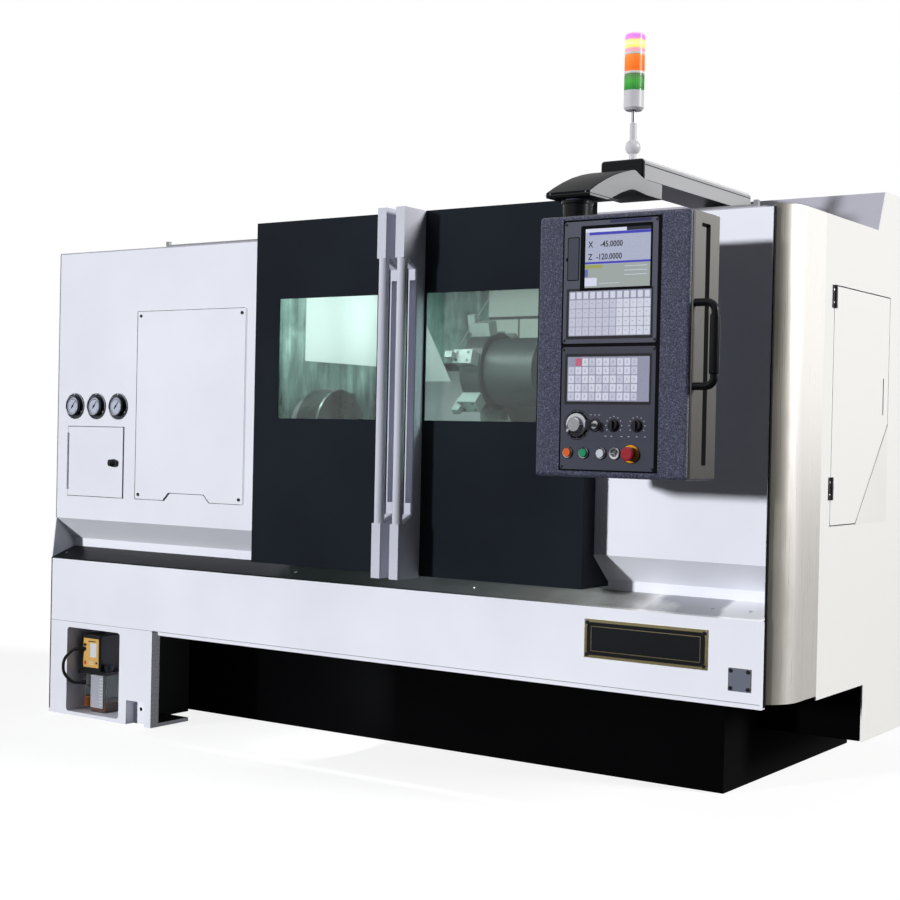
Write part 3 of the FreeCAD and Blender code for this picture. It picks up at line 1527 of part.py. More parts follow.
def chuck_jaw(index, angle):
    """Stepped jaw whose foot runs in a radial slot of the chuck."""
    centre = spindle_line()
    fit = size("jaw_fit")
    width = size("jaw_width") - 2 * fit
    depth = size("jaw_slot_depth")
    face = across(chuck_face() + size("chuck_length") - depth)
    inner = size("jaw_inner")
    length = size("jaw_length")
    step = size("jaw_step")
    foot = spoke_box("jaw_foot_%d" % index, centre, angle, face + fit, inner,
                     (depth, length, width))
    steps = [spoke_box("jaw_step_%d_%d" % (index, level), centre, angle,
                       face + depth + level * size("jaw_rise") / 3, inner + step * level,
                       (size("jaw_rise") / 3 + fit, length - step * level, width))
             for level in range(3)]
    node("jaw_%d" % (index + 1), fuse("jaw_fold_%d" % index, [foot] + steps))


# ---------------------------------------------------------------- carriage and turret

def carriage():
    low = size("way_height") + size("slide_fit")
    left = size("carriage_left")
    run = size("carriage_low")
    plate = slope_box("carriage_plate", across(left), run, low,
                      (size("carriage_length"), size("carriage_run"),
                       size("carriage_thick")))
    guides = []
    wide = size("way_width") / 2 + size("slide_fit")
    for name in ("way_low", "way_high"):
        for sign, start in ((1, wide), (-1, -wide - size("guide_width"))):
            guides.append(slope_box("%s_guide_%d" % (name, sign + 1), across(left),
                                    size(name) + start, 6,
                                    (size("carriage_length"), size("guide_width"),
                                     low - 5)))
    node("carriage", fuse("carriage_fold", [plate] + guides))


def cross_base():
    return size("way_height") + size("carriage_thick") + 2 * size("slide_fit")


def cross_slide():
    left = size("cross_left")
    length = size("cross_length")
    base = cross_base()
    distance = size("turret_distance")
    centre = size("centre_height")
    plate = slope_box("cross_plate", across(left), size("cross_low"), base,
                      (length, size("cross_run"), size("cross_thick")))
    pillar = size("turret_pillar")
    housing_left = size("turret_left") + size("turret_thick") + size("turret_gap")
    block = slope_box("turret_pillar", across(left), distance - pillar / 2, base,
                      (size("turret_body_length") - 20, pillar, centre - base))
    drum = slope_rod("turret_drum", across(housing_left), distance, centre,
                     size("turret_body"), size("turret_body_length"))
    bore = slope_rod("turret_bore", across(housing_left - 1), distance, centre,
                     size("turret_shaft") + size("run_clear"), size("turret_seat") + 6)
    body = fuse("cross_fold", [plate, block, drum])
    node("cross_slide", cut("cross_cut", body, [bore]))


def turret_centre():
    return slope_point(size("turret_distance"), size("centre_height"))


def tool_angles():
    count = int(SIZES["tool_count"])
    return [45 + 360.0 * index / count for index in range(count)]


def turret():
    centre = turret_centre()
    radius = size("turret_radius")
    thick = size("turret_thick")
    count = int(SIZES["tool_count"])
    disc = turned("turret_disc", [(0, 0), (radius - 12, 0), (radius, 12),
                                  (radius, thick - 4), (radius - 4, thick), (0, thick)],
                  (across(size("turret_left")), centre[0], centre[1]), axis="x")
    flat = radius * math.cos(math.pi / count / 1.6)
    flats = [spoke_box("turret_flat_%d" % index, centre, angle,
                       across(size("turret_left") - 1), flat,
                       (thick + 2, as_length(30), 2 * radius))
             for index, angle in enumerate(tool_angles())]
    hub = rod("turret_hub", (across(size("turret_left") - 14), centre[0], centre[1]),
              as_length(38), as_length(16), axis="x")
    shaft = rod("turret_shaft", (across(size("turret_left") + thick - 1), centre[0],
                                 centre[1]),
                size("turret_shaft"), size("turret_gap") + size("turret_seat"), axis="x")
    node("turret", fuse("turret_fold", [cut("turret_cut", disc, flats), hub, shaft]))


def tool_blocks():
    centre = turret_centre()
    radius = size("turret_radius")
    flat = radius * math.cos(math.pi / int(SIZES["tool_count"]) / 1.6)
    left = size("turret_left")
    holders = []
    for index, angle in enumerate(tool_angles()):
        block = spoke_box("tool_block_%d" % index, centre, angle, across(left + 4), flat,
                          (size("turret_thick") - 12, size("block_rise"),
                           size("block_width")))
        shank = spoke_box("tool_shank_%d" % index, centre, angle, across(left - 12),
                          flat + 10, (size("shank") + 6, size("block_rise")
                                      + size("shank_out") - 10, size("shank")))
        holders.append(fuse("tool_holder_%d" % index, [block, shank]))
    node("tool_blocks", group("tool_set", holders))


# ---------------------------------------------------------------- tailstock

def tailstock():
    left = size("tail_left")
    length = size("tail_length")
    low = size("way_height") + size("slide_fit")
    half = size("tail_half")
    centre = size("centre_height")
    web = size("tail_web")
    base = slope_box("tail_base", across(left), -half, low,
                     (length, 2 * half, size("tail_thick")))
    rib = slope_box("tail_rib", across(left + 10), -web, low,
                    (length - 20, 2 * web, centre - low))
    barrel = slope_rod("tail_barrel", across(left), 0, centre, size("tail_radius"), length)
    bore = slope_rod("tail_bore", across(left - 1), 0, centre,
                     size("quill_radius") + size("quill_fit"), length - 20)
    node("tailstock", cut("tail_cut", fuse("tail_fold", [base, rib, barrel]), [bore]))


def quill():
    y, z = spindle_line()
    radius = size("quill_radius")
    tip = size("centre_length")
    cone = size("centre_radius")
    profile = [(0, 0), (cone, tip), (cone, tip + 8), (radius - 4, tip + 8),
               (radius, tip + 12), (radius, tip + size("quill_length") - 22),
               (0, tip + size("quill_length") - 22)]
    node("quill", turned("quill_turned", profile,
                         (across(size("quill_start") - tip), y, z), axis="x"))


# ---------------------------------------------------------------- assembly and export

def build():
    fill_sheet()
    plinth()
    leg_cabinet()
    lower_front_panel()
    sill()
    left_cover()
    right_front_panel()
    corner_column()
    right_side_panel()
    rear_hood()
    roof_panel()
    door_rail()
    inspection_cover()
    panel_screws()
    data_plates()
    pressure_gauges()
    hatch_door()
    hatch_latch()
    oil_tank()
    pump_box()
    tank_caps()
    pump_cable()
    doors()
    side_door()
    boom_arm()
    boom_elbow()
    stack_light()
    pendant()
    bed()
    chamber_liner()
    headstock()
    spindle_motor()
    spindle()
    chuck()
    for index, angle in enumerate(JAW_ANGLES):
        chuck_jaw(index, angle)
    carriage()
    cross_slide()
    turret()
    tool_blocks()
    tailstock()
    quill()
    DOC.recompute()


def check():
    for item in DOC.Objects:
        if "Invalid" in item.State or "Error" in item.State:
            raise ValueError("%s: %s" % (item.Name, item.State))
    for item in NODES:
        if item.Shape.isNull() or not item.Shape.isValid():
            raise ValueError("%s has no valid shape" % item.Label)


def export():
    os.makedirs("parts", exist_ok=True)
    for item in NODES:
        item.Shape.exportStep("parts/%s.step" % item.Label)
        box_of = item.Shape.BoundBox
        print("%-18s %2d solids  x %.0f..%.0f  y %.0f..%.0f  z %.0f..%.0f" % (
            item.Label, len(item.Shape.Solids), box_of.XMin, box_of.XMax, box_of.YMin,
            box_of.YMax, box_of.ZMin, box_of.ZMax))


build()
check()
export()
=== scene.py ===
import math
import bpy
import bmesh
from mathutils import Matrix, Vector


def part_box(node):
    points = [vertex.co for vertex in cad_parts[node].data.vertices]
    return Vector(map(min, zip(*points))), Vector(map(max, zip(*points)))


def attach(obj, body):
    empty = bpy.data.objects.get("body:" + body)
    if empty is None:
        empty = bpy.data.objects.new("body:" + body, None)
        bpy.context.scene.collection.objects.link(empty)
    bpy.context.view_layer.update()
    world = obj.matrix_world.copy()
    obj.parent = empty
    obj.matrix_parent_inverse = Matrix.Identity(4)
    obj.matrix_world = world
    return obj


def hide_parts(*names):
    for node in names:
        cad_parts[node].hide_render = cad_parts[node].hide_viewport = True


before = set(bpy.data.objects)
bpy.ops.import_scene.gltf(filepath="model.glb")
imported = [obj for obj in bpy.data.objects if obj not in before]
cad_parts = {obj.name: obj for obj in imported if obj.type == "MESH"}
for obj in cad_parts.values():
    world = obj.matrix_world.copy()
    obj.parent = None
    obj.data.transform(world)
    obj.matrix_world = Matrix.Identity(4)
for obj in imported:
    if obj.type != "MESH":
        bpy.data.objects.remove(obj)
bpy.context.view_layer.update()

SCENE = bpy.context.scene
SCENE.view_settings.view_transform = "Standard"
MM = 0.001


# ---------------------------------------------------------------- camera

def photo_camera():
    """Camera at the photograph's place, found from the machine's straight edges."""
    yaw, pitch, roll = 0.603, -0.0102, 0.0209
    ahead = Vector((-math.sin(yaw) * math.cos(pitch), math.cos(yaw) * math.cos(pitch),
                    math.sin(pitch)))
    level = Vector((math.cos(yaw), math.sin(yaw), 0))
    above = level.cross(ahead)
    right = math.cos(roll) * level + math.sin(roll) * above
    up = math.cos(roll) * above - math.sin(roll) * level
    data = bpy.data.cameras.new("photo_camera")
    data.sensor_width = 36
    data.lens = 63.31
    data.clip_end = 100
    camera = bpy.data.objects.new("photo_camera", data)
    SCENE.collection.objects.link(camera)
    turn = Matrix((right, up, -ahead)).transposed().to_4x4()
    camera.matrix_world = Matrix.Translation((2.77072, -4.02361, 0.94875)) @ turn
    SCENE.camera = camera


photo_camera()


# ---------------------------------------------------------------- material helpers

def linear(code):
    """Linear colour of an sRGB hex value."""
    parts = [int(code[i:i + 2], 16) / 255 for i in (1, 3, 5)]
    return tuple(p / 12.92 if p <= 0.04045 else ((p + 0.055) / 1.055) ** 2.4
                 for p in parts) + (1.0,)


def add(tree, kind, inputs=(), **settings):
    """Adds a node with its settings; an input is a plain value or another node's output."""
    item = tree.nodes.new("ShaderNode" + kind)
    for name, value in settings.items():
        setattr(item, name, value)
    for socket, value in dict(inputs).items():
        if isinstance(value, bpy.types.NodeSocket):
            tree.links.new(value, item.inputs[socket])
        else:
            item.inputs[socket].default_value = value
    return item


def start_material(name):
    """New material with an empty node tree."""
    material = bpy.data.materials.new(name)
    material.use_nodes = True
    material.node_tree.nodes.clear()
    return material, material.node_tree


def start_coat(name):
    """New material, with the places and the ways out that its patterns follow."""
    material, tree = start_material(name)
    source = add(tree, "TexCoord").outputs
    return material, tree, source["Object"], source["Normal"]


def two_tones(tree, pattern, low_tone, high_tone, low=0.35, high=0.65):
    """Colour that goes from one tone to the other as the pattern goes from low to high."""
    share = add(tree, "MapRange", {"Value": pattern, "From Min": low, "From Max": high})
    return add(tree, "Mix", {0: share.outputs[0], 6: linear(low_tone),
                             7: linear(high_tone)}, data_type="RGBA").outputs[2]


def set_stops(ramp, stops):
    """Gives a ramp node its (place, colour) stops, and gives back its colour."""
    points = ramp.color_ramp.elements
    points[0].position, points[0].color = stops[0][0], linear(stops[0][1])
    points[1].position, points[1].color = stops[-1][0], linear(stops[-1][1])
    for spot, code in stops[1:-1]:
        points.new(spot).color = linear(code)
    return ramp.outputs["Color"]


def surfaced(material, colour, pattern, smoothest, roughest, relief=None, more=()):
    """Ends a material: the pattern drives roughness; relief is (height, strength, metres)."""
    tree = material.node_tree
    rough = add(tree, "MapRange", {"Value": pattern, "To Min": smoothest,
                                   "To Max": roughest})
    inputs = {"Base Color": colour, "Roughness": rough.outputs[0], **dict(more)}
    if relief:
        height, strength, depth = relief
        bump = add(tree, "Bump", {"Height": height, "Strength": strength,
                                  "Distance": depth})
        inputs["Normal"] = bump.outputs[0]
    shader = add(tree, "BsdfPrincipled", inputs)
    add(tree, "OutputMaterial", {"Surface": shader.outputs[0]})
    return material


def average(tree, first, second):
    """Mean of two noise patterns."""
    both = add(tree, "Math", {0: first.outputs["Fac"], 1: second.outputs["Fac"]},
               operation="ADD")
    return add(tree, "Math", {0: both.outputs[0], 1: 0.5}, operation="MULTIPLY").outputs[0]


def brush_lines(tree, place, stretch):
    """Long fine lines of a brushed sheet, drawn out where stretch is small."""
    drawn = add(tree, "Mapping", {"Vector": place, "Scale": stretch})
    return add(tree, "TexNoise", {"Vector": drawn.outputs[0], "Scale": 330.0,
                                  "Detail": 4.0}).outputs["Fac"]


# Tool marks and brushing: how deep they are, and the pattern's squeeze along a brush line.
SCRATCH_DEPTH = 0.2 * MM
BRUSHED = 0.012


def drift_and_peel(tree, place, peel_scale):
    """Slow drift over a sheet, and the fine peel of its coat."""
    drift = add(tree, "TexNoise", {"Vector": place, "Scale": 2.2, "Detail": 3.0})
    peel = add(tree, "TexNoise", {"Vector": place, "Scale": peel_scale, "Detail": 2.0})
    return drift.outputs["Fac"], peel.outputs["Fac"]


def coated_sheet(name, tone, shade, roughness, grain_mm, depth_mm, gloss=0.5):
    """Sprayed or powder-coated sheet: orange peel in the gloss, and a slow drift of tone.

    The peel is about 1 mm in truth; grain_mm draws it coarser, so that it shows.
    """
    material, tree, place, _ = start_coat(name)
    drift, peel = drift_and_peel(tree, place, 1000 / grain_mm)
    return surfaced(material, two_tones(tree, drift, shade, tone), drift,
                    roughness - 0.05, roughness + 0.07, (peel, 0.35, depth_mm * MM),
                    {"Specular IOR Level": gloss})


def faced_sheet(name, faces, tone, roughness, gloss=0.5):
    """Enamelled casting coloured face by face, by the way each face looks: its own colours, and
    on the beam painted light and shade.
    """
    material, tree, place, way = start_coat(name)
    way = add(tree, "SeparateXYZ", {0: way}).outputs
    colour = linear(tone)
    for axis, low, high, other in faces:
        share = add(tree, "MapRange", {"Value": way[axis], "From Min": low,
                                       "From Max": high})
        colour = add(tree, "Mix", {0: share.outputs[0], 6: colour, 7: linear(other)},
                     data_type="RGBA").outputs[2]
    peel = add(tree, "TexNoise", {"Vector": place, "Scale": 250.0,
                                  "Detail": 2.0}).outputs["Fac"]
    drift = add(tree, "TexNoise", {"Vector": place, "Scale": 3.0})
    return surfaced(material, colour, drift.outputs["Fac"], roughness - 0.06,
                    roughness + 0.06, (peel, 0.35, 0.05 * MM),
                    {"Specular IOR Level": gloss})


def brushed_metal(name, tone, shade, roughness, along, line_mm=1.6):
    """Metal with fine parallel scratches that run along one axis.

    The scratches are hair-fine in truth; line_mm draws them coarser, so that they show.
    """
    material, tree, place, _ = start_coat(name)
    stretch = [BRUSHED if axis == along else 1.0 for axis in "XYZ"]
    place = add(tree, "Mapping", {"Vector": place, "Scale": stretch}).outputs[0]
    lines = add(tree, "TexNoise", {"Vector": place, "Scale": 1000 / line_mm, "Detail": 4.0,
                                   "Roughness": 0.7})
    wide = add(tree, "TexNoise", {"Vector": place, "Scale": 60.0, "Detail": 2.0})
    half = average(tree, lines, wide)
    return surfaced(material, two_tones(tree, half, shade, tone), half, roughness - 0.07,
                    roughness + 0.09, (half, 0.18, SCRATCH_DEPTH), {"Metallic": 1.0})


def graded_strip(name, stops, roughness):
    """Steel strip whose colour runs along X through the given stops, blotched a little; its
    bright stops are painted reflection.
    """
    material, tree, place, _ = start_coat(name)
    along = add(tree, "SeparateXYZ", {0: place}).outputs["X"]
    blotch = add(tree, "TexNoise", {"Vector": place, "Scale": 7.0, "Detail": 4.0})
    moved = add(tree, "Math", {0: blotch.outputs["Fac"], 1: 0.25, 2: along},
                operation="MULTIPLY_ADD")
    share = add(tree, "MapRange", {"Value": moved.outputs[0],
                                   "From Min": -1.2, "From Max": 1.4})
    colour = set_stops(add(tree, "ValToRGB", {"Fac": share.outputs[0]}), stops)
    lines = brush_lines(tree, place, (BRUSHED, 1, 1))
    return surfaced(material, colour, lines, roughness - 0.06, roughness + 0.08,
                    (lines, 0.15, SCRATCH_DEPTH), {"Specular IOR Level": 0.06})


def corner_stainless(name):
    """Brushed stainless of the rounded corner: painted reflection, dark where it looks to the
    front and bright where it turns right, under cloudy stains.
    """
    material, tree, place, way = start_coat(name)
    round_way = add(tree, "SeparateXYZ", {0: way}).outputs["X"]
    lines = brush_lines(tree, place, (1, 1, BRUSHED))
    stain = add(tree, "Mapping", {"Vector": place, "Scale": (4, 4, 1.6)})
    cloud = add(tree, "TexNoise", {"Vector": stain.outputs[0], "Scale": 2.6, "Detail": 4.0})
    # Tone set by how far a face turns to the right: painted reflection.
    shifted = add(tree, "Math", {0: cloud.outputs["Fac"], 1: -0.22, 2: round_way},
                  operation="MULTIPLY_ADD")
    colour = set_stops(add(tree, "ValToRGB", {"Fac": shifted.outputs[0]}),
                       ((0.46, "#6F6B64"), (0.58, "#A9A59C"), (0.72, "#C9C5BC"),
                        (0.84, "#FBF8F3")))
    return surfaced(material, colour, lines, 0.22, 0.38, (lines, 0.15, SCRATCH_DEPTH),
                    {"Metallic": 0.55})


def stained_liner(name):
    """Enamelled lining, dark with coolant: runs that hang down over slow green clouds."""
    material, tree, place, _ = start_coat(name)
    tall = add(tree, "Mapping", {"Vector": place, "Scale": (9, 9, 1.2)})
    runs = add(tree, "TexNoise", {"Vector": tall.outputs[0], "Scale": 3.0, "Detail": 6.0,
                                  "Roughness": 0.65})
    cloud = add(tree, "TexNoise", {"Vector": place, "Scale": 5.0, "Detail": 5.0,
                                   "Roughness": 0.6, "Distortion": 0.6})
    half = average(tree, runs, cloud)
    colour = set_stops(add(tree, "ValToRGB", {"Fac": half}),
                       ((0.36, "#22332F"), (0.46, "#4E6963"), (0.56, "#7C9891"),
                        (0.68, "#C3D8D2")))
    return surfaced(material, colour, half, 0.2, 0.4)


def turned_metal(name, tone, shade, roughness, ring_mm=2.4):
    """Lathe-turned steel: fine tool marks, drawn coarser to show, and a slow smear of tone."""
    material, tree, place, _ = start_coat(name)
    marks = add(tree, "TexNoise", {"Vector": place, "Scale": 1000 / ring_mm,
                                   "Detail": 3.0}).outputs["Fac"]
    smear = add(tree, "TexNoise", {"Vector": place, "Scale": 14.0,
                                   "Detail": 2.0}).outputs["Fac"]
    return surfaced(material, two_tones(tree, smear, shade, tone), smear, roughness - 0.06,
                    roughness + 0.1, (marks, 0.12, SCRATCH_DEPTH), {"Metallic": 1.0})


def moulded_plastic(name, tone, shade, roughness=0.42, grain_mm=1.5, depth_mm=0.05,
                    more=()):
    """Moulded plastic: a soft gloss over spark-eroded grain, which is drawn coarser to show."""
    material, tree, place, _ = start_coat(name)
    grain = add(tree, "TexNoise", {"Vector": place, "Scale": 1000 / grain_mm,
                                   "Detail": 2.0}).outputs["Fac"]
    return surfaced(material, two_tones(tree, grain, shade, tone), grain, roughness - 0.05,
                    roughness + 0.06, (grain, 0.3, depth_mm * MM), more)


def hammered_paint(name, tone, fleck, roughness, cell_mm, depth_mm):
    """Hammer-finish enamel: small wrinkled dimples, with paler flecks on their ridges."""
    material, tree, place, _ = start_coat(name)
    dimples = add(tree, "TexVoronoi", {"Vector": place, "Scale": 1000 / cell_mm},
                  feature="SMOOTH_F1")
    wrinkle = add(tree, "TexNoise", {"Vector": place, "Scale": 1400 / cell_mm,
                                     "Detail": 3.0, "Roughness": 0.6}).outputs["Fac"]
    height = add(tree, "Math", {0: dimples.outputs["Distance"], 1: wrinkle},
                 operation="MULTIPLY").outputs[0]
    return surfaced(material, two_tones(tree, height, tone, fleck, 0.12, 0.46), wrinkle,
                    roughness - 0.08, roughness + 0.08, (height, 0.6, depth_mm * MM))


def clear_pane(name, tint, roughness=0.02):
    """See-through sheet. Lamps shine through it, so that what it covers is lit."""
    material, tree, place, _ = start_coat(name)
    smear = add(tree, "TexNoise", {"Vector": place, "Scale": 9.0, "Detail": 3.0})
    rough = add(tree, "MapRange", {"Value": smear.outputs["Fac"], "To Min": roughness,
                                   "To Max": roughness + 0.03})
    glass = add(tree, "BsdfPrincipled", {
        "Base Color": linear(tint), "Transmission Weight": 1.0, "IOR": 1.46,
        "Roughness": rough.outputs[0]})
    shine = add(tree, "BsdfTransparent", {"Color": linear(tint)})
    lamp = add(tree, "LightPath").outputs["Is Shadow Ray"]
    pane = add(tree, "MixShader", {0: lamp, 1: glass.outputs[0], 2: shine.outputs[0]})
    add(tree, "OutputMaterial", {"Surface": pane.outputs[0]})
    return material


def glowing(name, tone, strength, grain_mm=3.0):
    """Back-lit display area or lamp, with the faint unevenness of its diffuser."""
    material, tree, place, _ = start_coat(name)
    grain = add(tree, "TexNoise", {"Vector": place,
                                   "Scale": 1000 / grain_mm}).outputs["Fac"]
    dim = add(tree, "MapRange", {"Value": grain, "To Min": strength * 0.9,
                                 "To Max": strength * 1.1})
    return surfaced(material, linear(tone), grain, 0.3, 0.42, None,
                    {"Emission Color": linear(tone), "Emission Strength": dim.outputs[0]})


def graded(name, axis, low, high, stops, roughness, strength=0.0):
    """Coat or lens whose colour runs along one axis, as painted shade on the pendant's side
    cover; a lens also glows in that colour, as painted light where it is unlit.
    """
    material, tree, place, _ = start_coat(name)
    along = add(tree, "SeparateXYZ", {0: place}).outputs[axis]
    share = add(tree, "MapRange", {"Value": along, "From Min": low, "From Max": high})
    colour = set_stops(add(tree, "ValToRGB", {"Fac": share.outputs[0]}), stops)
    cloud = add(tree, "TexNoise", {"Vector": place, "Scale": 60.0})
    return surfaced(material, colour, cloud.outputs["Fac"], roughness - 0.06,
                    roughness + 0.06, None,
                    {"Emission Color": colour, "Emission Strength": strength})


def split_finish(name, axis, edge, low_tone, high_tone, roughness):
    """One row of pieces in two colours, parted at a place along one axis."""
    material, tree, place, _ = start_coat(name)
    along = add(tree, "SeparateXYZ", {0: place}).outputs[axis]
    side = add(tree, "Math", {0: along, 1: edge}, operation="GREATER_THAN")
    colour = add(tree, "Mix", {0: side.outputs[0], 6: linear(low_tone),
                               7: linear(high_tone)}, data_type="RGBA").outputs[2]
    grain = add(tree, "TexNoise", {"Vector": place, "Scale": 400.0})
    return surfaced(material, colour, grain.outputs["Fac"], roughness - 0.05,
                    roughness + 0.05)


def leg_coat(name):
    """White coat outside; a mottled grey end face that looks to the right, and painted shade,
    near-black, in the hollow behind it on the right.
    """
    material, tree, place, way = start_coat(name)
    spot, way = [add(tree, "SeparateXYZ", {0: item}).outputs for item in (place, way)]
    hollow_left, hollow_front, end_left, sideways = -0.95, -0.408, -0.8210, 0.5
    beyond = [add(tree, "Math", {0: value, 1: edge}, operation="GREATER_THAN").outputs[0]
              for value, edge in ((spot["X"], hollow_left), (spot["Y"], hollow_front),
                                  (spot["X"], end_left), (way["X"], sideways))]
    # The hollow behind the end face is painted near-black: painted shade.
    inner = add(tree, "Math", {0: beyond[0], 1: beyond[1]}, operation="MULTIPLY")
    end_face = add(tree, "Math", {0: beyond[2], 1: beyond[3]}, operation="MULTIPLY")
    drift, peel = drift_and_peel(tree, place, 200.0)
    hollow = add(tree, "Mix", {0: inner.outputs[0],
                               6: two_tones(tree, drift, "#E6E8F1", "#EEF0F8"),
                               7: linear("#0C0C0E")}, data_type="RGBA")
    colour = add(tree, "Mix", {0: end_face.outputs[0], 6: hollow.outputs[2],
                               7: two_tones(tree, peel, "#A6A7B0", "#C6C7D0")},
                 data_type="RGBA")
    return surfaced(material, colour.outputs[2], drift, 0.38, 0.5, (peel, 0.35, 0.05 * MM))


# ---------------------------------------------------------------- finishes of this machine

# Powder-coated sheet steel, a cold white. Peel of about 1 mm is drawn at 5 mm so that it shows.
WHITE_SHEET = coated_sheet("white_powder_coat", "#EEF0F8", "#E6E8F1", 0.42, 5, 0.05, 0.25)
# The same coat on the right side, tinted warmer as painted light of the hall, and its black
# hinges.
SIDE_SHEET = split_finish("white_coat_painted_warm_light_and_black_hinges", "X", 1.28255, "#F1F1EF",
                          "#17181B", 0.42)
# The same coat on the roof and hood, greyed as painted shade of its place above the lamps.
HOOD_SHEET = coated_sheet("white_powder_coat_painted_shade", "#B4B3BE", "#AAA9B4", 0.45, 5, 0.05)
# Plain side coat, over the corner of the side door, in the same warm tint of painted light.
DOOR_SKIN = coated_sheet("side_door_coat", "#F1F1EF", "#EAEAE8", 0.42, 5, 0.05)
# The leg's white coat, with its grey end face and the painted shade of its hollow.
LEG_COAT = leg_coat("leg_powder_coat")
# Satin black enamel with a fine sand texture, on the sliding doors.
DOOR_ENAMEL = coated_sheet("satin_black_enamel", "#1C2128", "#161A21", 0.5, 3, 0.12, 0.1)
# Flat black enamel on the plinth, deep and without gloss; the same black is painted shade over
# the pendant's side slot.
FLAT_BLACK_AND_SHADE = coated_sheet("flat_black_enamel_and_painted_shade", "#060607", "#040405", 0.7, 4, 0.1, 0.05)
# Hammer-finish enamel on the pendant, blue-grey with pale flecks. Its dimples of 2 mm are
# drawn at 3 mm so that they show.
HAMMER_ENAMEL = hammered_paint("hammer_finish_enamel", "#262838", "#686B80", 0.5, 3, 0.5)
# Satin enamel of the pendant's control sheets.
PANEL_ENAMEL = coated_sheet("satin_grey_enamel", "#50525F", "#484A57", 0.42, 3, 0.04)
# Stainless cover on the pendant's right side, in painted shade: dark below, lighter to its top.
BRACKET_SHEET = graded("grey_beige_sheet_painted_shade", "Z", 0.86, 1.46,
                       ((0.0, "#3A3936"), (0.3, "#484744"), (0.65, "#62615D"),
                        (1.0, "#7D7C77")), 0.4)
# Aluminium lacquer on the door pulls.
PULL_LACQUER = coated_sheet("aluminium_lacquer", "#CBCDD9", "#C0C2CE", 0.3, 3, 0.04)
# Cast arm of the pendant: light grey sides and black front; its paler top is painted light and
# its dark underside painted shade.
BEAM_SHEET = faced_sheet("beam_enamel_painted_light_and_shade", (("Z", 0.5, 0.6, "#D6D6D8"),
                                         ("Z", -0.5, -0.6, "#17181A"),
                                         ("Y", -0.7, -0.8, "#1A1C20")), "#A6A7AA", 0.42)
# Black moulded cover of the elbow, with light grey cheeks.
ELBOW_SHEET = faced_sheet("elbow_enamel", (("X", 0.85, 0.95, "#A0A1A4"),
                                           ("X", -0.85, -0.95, "#A0A1A4")), "#121315", 0.45,
                          0.04)
# Stainless sheet brushed upwards, on the rounded corner; its dark front and bright right side
# are painted reflection.
CORNER_STEEL = corner_stainless("brushed_stainless_painted_reflection")
# Stainless strip on the sill: darker at its left, lighter at its right, with narrow bright
# bands of painted reflection.
SILL_STEEL = graded_strip("stainless_painted_reflection", ((0.0, "#191C1D"), (0.50, "#1E2122"),
                                           (0.625, "#33373A"), (0.74, "#5E5F5D"),
                                           (0.81, "#8F9190"), (0.84, "#B8B8B8"),
                                           (0.863, "#F4F4F4"), (0.883, "#A9AAB0"),
                                           (0.933, "#B6B7BE"), (0.944, "#F6F7FA")), 0.34)
# Bright zinc on screws, rails and brackets: silvery, with fine lines along the rail.
ZINC_STEEL = brushed_metal("zinc_plated_steel", "#A9ABAE", "#8C8E92", 0.35, "X")
# Black oxide on hinges and screws, nearly black with a dull shine.
BLACK_OXIDE = coated_sheet("black_oxide", "#17181B", "#0F1012", 0.4, 2, 0.03)
# Rolled edge trim and shut lines, dark rubber and shadow, and pale folded edges.
TRIM_RUBBER = moulded_plastic("trim_rubber", "#2B2D2F", "#232526", 0.6, 2.0, 0.1)
PALE_TRIM = coated_sheet("pale_edge_trim", "#9EA0A6", "#8E9096", 0.4, 3, 0.04)
# Polished brass of the plate's border, pale gold with lines along it.
PLATE_BRASS = brushed_metal("polished_brass", "#E3D5A4", "#CDBB84", 0.3, "X")
# Anodised black field of the plate and grey of the small one.
PLATE_FIELD = coated_sheet("black_anodising", "#101217", "#0B0D11", 0.3, 3, 0.03)
LABEL_FIELD = coated_sheet("grey_anodising", "#6E727F", "#646875", 0.4, 3, 0.03)
# Cast iron bed and slides in light grey paint, flat, as they show through the windows.
BED_PAINT = coated_sheet("grey_casting_paint", "#A3A9A9", "#8D9393", 0.5, 8, 0.03)
# Folded lining of the work chamber, dark green and wet with coolant.
LINER_STEEL = stained_liner("stained_liner_enamel")
# Bright enamelled sheet at the lining's left end, close under the work lamp.
BRIGHT_LINER = coated_sheet("white_liner_enamel", "#E4EAE8", "#DCE4E2", 0.3, 6, 0.05)
# Hardened and ground steel: darker on the chuck and the quill; the bright bars on the lining's
# folds are painted highlights.
CHUCK_STEEL = turned_metal("turned_tool_steel", "#6A7370", "#454E4C", 0.33)
FOLD_HIGHLIGHT_STEEL = turned_metal("fold_highlight_steel", "#E4EAE8", "#CFD6D4", 0.22)
# Black enamel of the turret and its slide, and nickel plate of the tool blocks.
TURRET_STEEL = moulded_plastic("black_turret_enamel", "#1E2527", "#171C1E", 0.5, 6.0, 0.0)
BLOCK_STEEL = coated_sheet("nickel_tool_block", "#7C8582", "#6C7572", 0.4, 3, 0.05)
# ABS housings, black and pale grey with a soft gloss, and the lamp's clear separators.
BLACK_ABS = moulded_plastic("black_abs", "#1A1B1E", "#131416", 0.4)
GREY_ABS = moulded_plastic("pale_grey_abs", "#CDCCD1", "#C3C2C8", 0.38)
PALE_RING = moulded_plastic("clear_separator", "#D7DCD2", "#CCD2C8", 0.3)
# Black rubber sheath of the cable, matt.
CABLE_RUBBER = moulded_plastic("cable_rubber", "#121314", "#0B0C0D", 0.55, 2.0, 0.1)
# Laminated safety glass with a green cast, and the tank's clear plastic, slightly dull.
DOOR_GLASS = clear_pane("green_safety_glass", "#D8ECE6")
TANK_PLASTIC = clear_pane("clear_polycarbonate", "#D3D8D4", 0.05)
